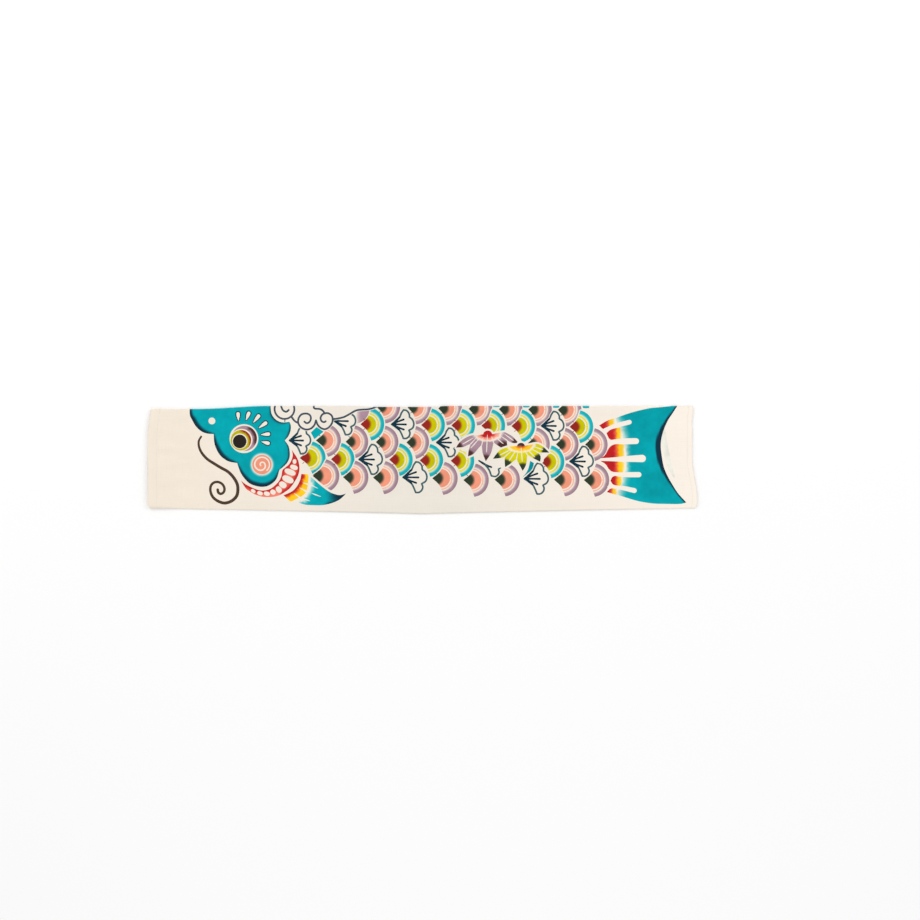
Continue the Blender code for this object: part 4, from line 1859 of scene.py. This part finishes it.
        def draw(line: Array, closed: bool) -> None:
            """Adds a line's points and edges."""
            nonlocal count
            points.append(line)
            numbers = list(range(count, count + len(line)))
            edges.extend(zip(numbers, numbers[1:]))
            if closed:
                edges.append((numbers[-1], numbers[0]))
            count += len(line)
            raster.take(line)
            raster.take((line[:-1] + line[1:]) / 2)

        draw(self.border(), True)
        reach = np.linspace(-self.bend, self.bend, 11)
        rungs = np.linspace(0, 1, 60)
        for x in reach:
            at = np.full_like(rungs, x)
            back, belly = self.tube.back_edge(at), self.tube.belly_edge(at)
            draw(np.stack([at, belly + (back - belly) * rungs], axis=1)[1:-1], False)
        for motif in self.motifs:
            draw(motif.shape, True)
            for crease in motif.creases:
                if len(crease) > 1:
                    draw(crease, False)
        rows = self.edge_rows()
        points.append(rows)
        raster.take(rows)
        shaded = [motif for motif in self.motifs if motif.shaded]
        for motif in self.motifs:
            for grain in motif.grain:
                loose = grain[self.within(grain, 1.6)] if len(grain) else grain
                points.append(raster.free(loose, 1))
        for motif in shaded:
            grid = self.lattice(self.shaded_step, motif.shape.min(axis=0), motif.shape.max(axis=0))
            grid = grid[inside(motif.shape, grid)]
            points.append(raster.free(grid[self.within(grid, 1.6)], 2))
        tube = self.tube
        grid = self.lattice(self.plain_step, (tube.mouth, tube.belly), (tube.tail, tube.back))
        points.append(raster.free(grid[self.within(grid, 2.4)], 3))
        return self.cut(np.vstack(points), edges)

    def cut(self, points: Array, edges: list[tuple[int, int]]) -> tuple[Array, Array]:
        """Triangulates points and edges, and keeps the triangles that lie on the cloth.

        Args:
            points: points on the flat cloth.
            edges: pairs of points that the triangles have to join.

        Returns:
            The points and the triangles.
        """
        made = delaunay_2d_cdt([Vector(p) for p in points], edges, [], 0, 1e-5, False)
        flat_points = np.array([tuple(p) for p in made[0]])
        faces = np.array(made[2])
        corners = flat_points[faces]
        one, two = corners[:, 1] - corners[:, 0], corners[:, 2] - corners[:, 0]
        turned = one[:, 0] * two[:, 1] - one[:, 1] * two[:, 0] < 0
        faces[turned] = faces[turned][:, ::-1]
        faces = faces[self.within(corners.mean(axis=1))]
        used, faces = np.unique(faces, return_inverse=True)
        return flat_points[used], faces.reshape(-1, 3)

    def painted(self, points: Array) -> Array:
        """The sRGB colours at some flat points.

        Args:
            points: places on the flat cloth.

        Returns:
            A colour for each of them.
        """
        # the undyed ground runs darker and greyer in the middle and lightest at the tail
        spots = [x for x, _ in self.ground]
        shades = np.array([hex_parts(shade) for _, shade in self.ground])
        ground = np.stack([np.interp(points[:, 0], spots, shades[:, i]) for i in range(3)], axis=1)
        colours = ground.copy()
        for motif in self.motifs:
            hit = inside(motif.shape, points)
            if hit.any():
                colours[hit] = motif.paint(points[hit])
        for cream in (Dye.CREAM, Dye.CREAM_GREY):
            bare = np.abs(colours - cream.rgb).max(axis=1) < 0.004
            colours[bare] = ground[bare]
        cloudy = 1 + 0.030 * patches(points, 13.0, 41) + 0.025 * patches(points, 4.4, 43)
        dyed = (np.abs(colours - ground).max(axis=1) > 0.02)[:, None]
        return np.where(dyed, colours * cloudy[:, None], colours)

    def edge_facts(self, points: Array, faces: Array) -> tuple[Array, Array]:
        """Finds the border's points, and settles them exactly on the edges.

        Args:
            points: the flat points, which are moved onto the edges.
            faces: the triangles.

        Returns:
            Which points lie on a side fold, and which lie on a rim.
        """
        sides = np.sort(np.vstack([faces[:, [0, 1]], faces[:, [1, 2]], faces[:, [2, 0]]]), axis=1)
        pairs, times = np.unique(sides, axis=0, return_counts=True)
        border = np.zeros(len(points), bool)
        border[pairs[times == 1].ravel()] = True
        back, belly, mouth, tail = (np.abs(depth) < 0.04 for depth in self.depths(points))
        on_back, on_belly = border & back, border & belly
        points[on_back, 1] = self.tube.back_edge(points[on_back, 0])
        points[on_belly, 1] = self.tube.belly_edge(points[on_belly, 0])
        on_fold = on_back | on_belly
        on_rim = border & (mouth | tail)
        strays = border & ~(on_fold | on_rim)
        if strays.any():
            raise ValueError(f"{strays.sum()} border points lie off the edges, as at {points[strays][0]}")
        return on_fold, on_rim

    def inner_triangles(self, rims: Array) -> tuple[Array, Array]:
        """The flat cloth again, cut coarsely for the inner faces.

        Args:
            rims: the outer faces' rim points, which the inner ones share.

        Returns:
            The points and the triangles.
        """
        tube = self.tube
        at_mouth = rims[rims[:, 0] < 0]
        at_tail = rims[rims[:, 0] >= 0]
        at_mouth = at_mouth[np.argsort(at_mouth[:, 1])]
        at_tail = at_tail[np.argsort(-at_tail[:, 1])]
        columns = np.arange(tube.mouth + 12, tube.tail - 12, self.inner_step)
        columns = columns[np.abs(columns) > self.bend + 2]
        reach = np.linspace(-self.bend, self.bend, 11)
        columns = np.sort(np.concatenate([columns, reach]))
        border = np.vstack([
            at_mouth,
            np.stack([columns, tube.back_edge(columns)], axis=1),
            at_tail,
            np.stack([columns, tube.belly_edge(columns)], axis=1)[::-1],
        ])
        numbers = list(range(len(border)))
        edges = list(zip(numbers, numbers[1:] + [0]))
        points = [border]
        count = len(border)
        rungs = np.linspace(0.05, 0.95, 28)
        for x in reach:
            at = np.full_like(rungs, x)
            low, high = tube.belly_edge(at), tube.back_edge(at)
            points.append(np.stack([at, low + (high - low) * rungs], axis=1))
            numbers = list(range(count, count + len(rungs)))
            edges.extend(zip(numbers, numbers[1:]))
            count += len(rungs)
        y = np.arange(tube.belly, tube.back, self.edge_step)
        rows = [np.stack([columns, tube.back_edge(columns) - d], axis=1) for d in self.side_rows]
        rows += [np.stack([columns, tube.belly_edge(columns) + d], axis=1) for d in self.side_rows]
        for d in (*self.rim_rows, *self.casing_rows):
            rows.append(np.stack([tube.mouth_rim(y) + d, y], axis=1))
        for d in (*self.rim_rows, *self.hem_rows):
            rows.append(np.stack([tube.tail_rim(y) - d, y], axis=1))
        grid = self.lattice(self.inner_step, (tube.mouth, tube.belly), (tube.tail, tube.back))
        depths = np.min(self.depths(grid), axis=0)
        grid = grid[(depths > 2.8) & (np.abs(grid[:, 0]) > self.bend + 2)]
        rows = np.vstack(rows)
        rows = rows[self.within(rows, 0.09)]
        return self.cut(np.vstack([*points, rows, grid]), edges)

    def lifted(self, points: Array, on_fold: Array, on_rim: Array, near: bool, outer: bool) -> Array:
        """Places one face of one layer.

        Args:
            points: its flat points.
            on_fold: which of them lie on a side fold.
            on_rim: which of them lie on a rim.
            near: whether it is the near layer.
            outer: whether it is the outer face.

        Returns:
            The points in metres.
        """
        tube = self.tube
        x, y = points.T
        back, belly, mouth, tail = self.depths(points)
        from_fold = np.where(on_fold, 0.0, np.clip(np.minimum(back, belly), 0.02, None))
        from_rim = np.where(on_rim, 0.0, np.clip(np.minimum(mouth, tail), 0.02, None))
        wall = tube.wall(x, y)
        turned_in = tube.rim_inset(from_rim, wall)
        inset = turned_in if outer else wall - turned_in
        return tube.place(x, y, inset, near, from_fold)

    def build(self) -> bpy.types.Object:
        """Builds the closed mesh with its dyed colours and its flat coordinates.

        Returns:
            The piece.
        """
        outer, outer_faces = self.triangles()
        fold, rim = self.edge_facts(outer, outer_faces)
        inner, inner_faces = self.inner_triangles(outer[rim])
        inner_fold, inner_rim = self.edge_facts(inner, inner_faces)
        rim_numbers = {tuple(np.round(outer[i], 3)): i for i in np.flatnonzero(rim)}

        far = np.arange(len(outer))
        far[~fold] = len(outer) + np.arange((~fold).sum())
        total = len(outer) + (~fold).sum()
        inner_near = np.full(len(inner), -1)
        inner_far = np.full(len(inner), -1)
        for i in np.flatnonzero(inner_rim):
            match = rim_numbers[tuple(np.round(inner[i], 3))]
            inner_near[i], inner_far[i] = match, far[match]
        loose = inner_near < 0
        inner_near[loose] = total + np.arange(loose.sum())
        total += loose.sum()
        apart = loose & ~inner_fold
        inner_far[loose & inner_fold] = inner_near[loose & inner_fold]
        inner_far[apart] = total + np.arange(apart.sum())
        total += apart.sum()

        places = np.zeros((total, 3))
        places[far] = self.lifted(outer, fold, rim, False, True)
        places[np.arange(len(outer))] = self.lifted(outer, fold, rim, True, True)
        places[inner_far[apart]] = self.lifted(inner, inner_fold, inner_rim, False, False)[apart]
        places[inner_near[loose]] = self.lifted(inner, inner_fold, inner_rim, True, False)[loose]

        outer_colours = self.corner_colours(outer, outer_faces)
        inner_colours = self.corner_colours(inner, inner_faces)
        pale = mix(inner_colours, linear(Dye.CREAM.rgb), np.full(len(inner_colours), 0.3))
        backwards = [0, 2, 1]
        sheets = (
            (outer_faces, np.arange(len(outer)), False, outer, outer_colours, (0, 1)),
            (outer_faces, far, True, outer, outer_colours, (0, -1)),
            (inner_faces, inner_near, True, inner, pale, (1000, 1)),
            (inner_faces, inner_far, False, inner, pale, (1000, -1)),
        )
        faces, colours, flats = [], [], []
        for tris, numbers, flipped, points, shades, (shift, way) in sheets:
            order = backwards if flipped else [0, 1, 2]
            faces.append(numbers[tris][:, order])
            colours.append(shades.reshape(-1, 3, 3)[:, order].reshape(-1, 3))
            corner = points[tris][:, order].reshape(-1, 2)
            flats.append(np.stack([corner[:, 0] + shift, corner[:, 1] * way], axis=1) * MM)
        return self.mesh_piece(places, np.vstack(faces), np.vstack(colours), np.vstack(flats))

    def corner_colours(self, points: Array, faces: Array) -> Array:
        """The linear colour at each triangle's corners, read a little inside the triangle.

        Args:
            points: points on the flat cloth.
            faces: three points for each triangle.

        Returns:
            Three colours for each triangle.
        """
        corners = points[faces]
        inwards = corners + (corners.mean(axis=1, keepdims=True) - corners) * 0.08
        return linear(self.painted(inwards.reshape(-1, 2)))

    def mesh_piece(self, places: Array, faces: Array, colours: Array, flats: Array) -> bpy.types.Object:
        """Makes the object from its points, triangles, corner colours and flat coordinates.

        Args:
            places: its points.
            faces: its triangles.
            colours: the triangles' corner colours.
            flats: its flat coordinates.

        Returns:
            The object.
        """
        mesh = bpy.data.meshes.new("printed_cloth")
        mesh.vertices.add(len(places))
        mesh.vertices.foreach_set("co", places.astype(np.float32).ravel())
        mesh.loops.add(faces.size)
        mesh.loops.foreach_set("vertex_index", faces.astype(np.int32).ravel())
        mesh.polygons.add(len(faces))
        mesh.polygons.foreach_set("loop_start", np.arange(0, faces.size, 3, dtype=np.int32))
        mesh.update(calc_edges=True)
        dye = mesh.color_attributes.new("dye", "FLOAT_COLOR", "CORNER")
        rgba = np.hstack([colours, np.ones((len(colours), 1))])
        dye.data.foreach_set("color", rgba.astype(np.float32).ravel())
        cloth_map = mesh.uv_layers.new(name="cloth")
        cloth_map.data.foreach_set("uv", flats.astype(np.float32).ravel())
        mesh.validate()
        mesh.shade_smooth()
        return new_object("printed_cloth", mesh)


# ----------------------------------------
# Stitches and wire
# ----------------------------------------


@dataclass
class StitchRow:
    """A machine-sewn row round the tube, laid by Geometry Nodes.

    Attributes:
        name: the piece's name.
        from_rim: how far it runs from its rim.
        at_tail: whether that rim is the tail's.
        body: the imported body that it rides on.
        stands_for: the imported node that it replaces.
    """

    name: str
    from_rim: float
    at_tail: bool
    body: str
    stands_for: str
    pitch: float = 3.0
    stitch: float = 2.5
    thread: float = 0.5
    seed: int = 5

    def tree(self) -> bpy.types.GeometryNodeTree:
        """The node tree that lays one stitch at each step along a line.

        Returns:
            The tree, with its sizes and its material as inputs.
        """
        tree = bpy.data.node_groups.new("row of stitches", "GeometryNodeTree")
        tree.interface.new_socket("Line", in_out="INPUT", socket_type="NodeSocketGeometry")
        for name in ("Pitch", "Stitch length", "Thread width"):
            tree.interface.new_socket(name, in_out="INPUT", socket_type="NodeSocketFloat")
        tree.interface.new_socket("Seed", in_out="INPUT", socket_type="NodeSocketInt")
        tree.interface.new_socket("Thread", in_out="INPUT", socket_type="NodeSocketMaterial")
        tree.interface.new_socket("Stitches", in_out="OUTPUT", socket_type="NodeSocketGeometry")
        given = add(tree, "NodeGroupInput").outputs
        line = add(tree, "GeometryNodeMeshToCurve", {"Mesh": given["Line"]}).outputs[0]
        spacing = {"Curve": line, "Length": given["Pitch"]}
        steps = add(tree, "GeometryNodeResampleCurve", spacing, mode="LENGTH")
        bead = add(tree, "GeometryNodeMeshUVSphere", {"Segments": 8, "Rings": 6, "Radius": 0.5}).outputs[0]
        width = given["Thread width"]
        sizes = {"X": given["Stitch length"], "Y": width, "Z": width}
        size = add(tree, "ShaderNodeCombineXYZ", sizes).outputs[0]
        stitch = add(tree, "GeometryNodeTransform", {"Geometry": bead, "Scale": size}).outputs[0]
        tangent = add(tree, "GeometryNodeInputTangent").outputs[0]
        aim = add(tree, "FunctionNodeAlignRotationToVector", {"Vector": tangent}, axis="X").outputs[0]
        pull = {2: 0.92, 3: 1.06, "Seed": given["Seed"]}
        uneven = add(tree, "FunctionNodeRandomValue", pull, data_type="FLOAT").outputs[1]
        spots = {"Points": steps.outputs[0], "Instance": stitch, "Rotation": aim, "Scale": uneven}
        row = add(tree, "GeometryNodeInstanceOnPoints", spots).outputs[0]
        real = add(tree, "GeometryNodeRealizeInstances", {"Geometry": row}).outputs[0]
        finish = {"Geometry": real, "Material": given["Thread"]}
        dressed = add(tree, "GeometryNodeSetMaterial", finish).outputs[0]
        add(tree, "NodeGroupOutput", {"Stitches": dressed})
        return tree

    def build(self, tube: Tube, thread: bpy.types.Material) -> bpy.types.Object:
        """Sews the row.

        Args:
            tube: the cloth's form.
            thread: the thread's finish.

        Returns:
            The piece, riding on its body.
        """
        loop = tube.ring(self.from_rim, self.at_tail, -0.12 * self.thread)
        edges = [(i, (i + 1) % len(loop)) for i in range(len(loop))]
        mesh = bpy.data.meshes.new(self.name)
        mesh.from_pydata([tuple(p) for p in loop], edges, [])
        line = new_object(self.name + "_line", mesh)
        modifier = line.modifiers.new("stitches", "NODES")
        modifier.node_group = self.tree()
        values = {"Pitch": self.pitch * MM, "Stitch length": self.stitch * MM,
                  "Thread width": self.thread * MM, "Seed": self.seed, "Thread": thread}
        for socket in modifier.node_group.interface.items_tree:
            if socket.in_out == "INPUT" and socket.name in values:
                modifier[socket.identifier] = values[socket.name]
        piece = settled(line, self.name)
        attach(piece, self.body)
        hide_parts(self.stands_for)
        return piece


@dataclass
class RimWire:
    """The soft wire inside the mouth's casing."""

    diameter: float = 1.2
    from_rim: float = 3.0
    inset: float = 1.3

    def build(self, tube: Tube, zinc: bpy.types.Material) -> bpy.types.Object:
        """Bends the wire round inside the casing.

        Args:
            tube: the cloth's form.
            zinc: the wire's finish.

        Returns:
            The piece, riding on the head half.
        """
        loop = tube.ring(self.from_rim, False, self.inset)
        lap = 6
        route = np.vstack([loop, loop[:lap]])
        route[:, 0] += np.linspace(0, 1, len(route)) * (self.diameter + 0.3) * MM
        curve_data = bpy.data.curves.new("mouth_wire_bent", "CURVE")
        curve_data.dimensions = "3D"
        curve_data.bevel_depth = self.diameter / 2 * MM
        curve_data.bevel_resolution = 3
        curve_data.use_fill_caps = True
        spline = curve_data.splines.new("POLY")
        spline.points.add(len(route) - 1)
        for spot, point in zip(spline.points, route):
            spot.co = (*point, 1.0)
        piece = settled(new_object("mouth_wire_bent_line", curve_data, zinc), "mouth_wire_bent")
        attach(piece, "head_half")
        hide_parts("mouth_wire")
        return piece


# ----------------------------------------
# The studio
# ----------------------------------------


@dataclass
class Studio:
    """A pale floor, soft lights and a camera that looks straight down.

    Attributes:
        aim_x: what the camera looks at along the streamer, in metres.
        view_width: the width that it sees there, in metres.
    """

    aim_x: float = 0.0615
    view_width: float = 1.508
    lens: float = 85.0
    sensor: float = 36.0
    floor_half: float = 4.0
    floor_drop: float = 0.00015
    sky: float = 0.72
    lights: tuple[tuple[tuple[float, float, float], float, float], ...] = (
        ((-1.5, 1.7, 1.8), 1.6, 19.0),
        ((2.0, 1.3, 2.0), 1.6, 16.0),
        ((0.1, -2.2, 1.9), 1.8, 9.5),
    )

    def build(self) -> None:
        """Sets up the floor, the lights, the sky and the camera."""
        half = self.floor_half
        mesh = bpy.data.meshes.new("studio_floor")
        square = [(-half, -half), (half, -half), (half, half), (-half, half)]
        mesh.from_pydata([(x, y, -self.floor_drop) for x, y in square], [], [(0, 1, 2, 3)])
        new_object("studio_floor", mesh, Paper("matt white studio paper", 0.9).material())

        for place, size, power in self.lights:
            lamp = bpy.data.lights.new("soft box", "AREA")
            lamp.shape = "DISK"
            lamp.size = size
            lamp.energy = power
            box = new_object("soft box", lamp)
            box.location = place
            box.rotation_euler = (-Vector(place)).to_track_quat("-Z", "Y").to_euler()

        world = bpy.data.worlds.new("pale studio air")
        world.use_nodes = True
        world.node_tree.nodes["Background"].inputs["Color"].default_value = (1.0, 1.0, 1.0, 1.0)
        world.node_tree.nodes["Background"].inputs["Strength"].default_value = self.sky
        bpy.context.scene.world = world

        eye = bpy.data.cameras.new("overhead camera")
        eye.lens = self.lens
        eye.sensor_width = self.sensor
        camera = new_object("overhead camera", eye)
        camera.location = (self.aim_x, 0.0, self.view_width * self.lens / self.sensor)
        bpy.context.scene.camera = camera
        bpy.context.scene.view_settings.view_transform = "Standard"


# ----------------------------------------
# The streamer
# ----------------------------------------


@dataclass
class CarpStreamer:
    """The whole streamer: its printed cloth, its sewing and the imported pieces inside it."""

    tube: Tube

    def motifs(self) -> list[Motif]:
        """The whole drawing, in the order that it is brushed."""
        drawn = (Scales(), Clouds(), MAUVE_BLOSSOM, LIME_BLOSSOM, Head(), Whisker(), SideFin(), Mouth(),
                 GillFrill(), TailFin())
        return [motif for part in drawn for motif in part.motifs()]

    def cloth(self) -> bpy.types.Object:
        """The printed cloth in its dyed cotton finish, which takes the place of the imported cloth halves
        and hems.

        Returns:
            The piece.
        """
        motifs = self.motifs()
        printed = PrintedCloth(self.tube, motifs)
        piece = printed.build()
        dyed = Cotton("hand-dyed cotton sheeting", 0.92, dye="dye")
        piece.data.materials.append(dyed.material())
        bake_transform(piece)
        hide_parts("cloth_head_half", "cloth_tail_half", "mouth_casing", "tail_hem")
        return piece

    def build(self) -> list[bpy.types.Object]:
        """Builds and dresses every piece.

        Returns:
            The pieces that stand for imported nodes.
        """
        thread = Thread("mercerised cotton sewing thread", 0.55).material()
        plain = Cotton("undyed cotton sheeting", 0.92).material()
        zinc = SoftWire("annealed galvanised wire", 0.42, metallic=1.0).material()
        tube = self.tube
        made = [
            self.cloth(),
            StitchRow("mouth_hem_stitches", tube.casing_hem, False, "head_half", "mouth_casing_stitching")
            .build(tube, thread),
            StitchRow("tail_hem_stitches", tube.tail_hem, True, "tail_half", "tail_hem_stitching")
            .build(tube, thread),
            RimWire().build(tube, zinc),
        ]
        for half in ("head_half", "tail_half"):
            self.dress("belly_seam_" + half, plain)
            self.dress("belly_thread_" + half, thread)
        return made

    def dress(self, node: str, material: bpy.types.Material) -> None:
        """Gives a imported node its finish.

        Args:
            node: the node's name.
            material: its finish.
        """
        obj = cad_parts[node]
        obj.data.materials.clear()
        obj.data.materials.append(material)


def corners(bounds: tuple[Vector, Vector]) -> list[list[float]]:
    """A box's two corners as plain numbers."""
    return [[float(value) for value in corner] for corner in bounds]


def main() -> None:
    """Builds the studio and the streamer, and writes how large it came out."""
    logging.basicConfig(level=logging.INFO, format="%(message)s")
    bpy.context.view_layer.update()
    Studio().build()
    for piece in CarpStreamer(Tube.from_frame()).build():
        log.info("%s: %d triangles", piece.name, sum(len(face.vertices) - 2 for face in piece.data.polygons))


if __name__ == "__main__":
    main()
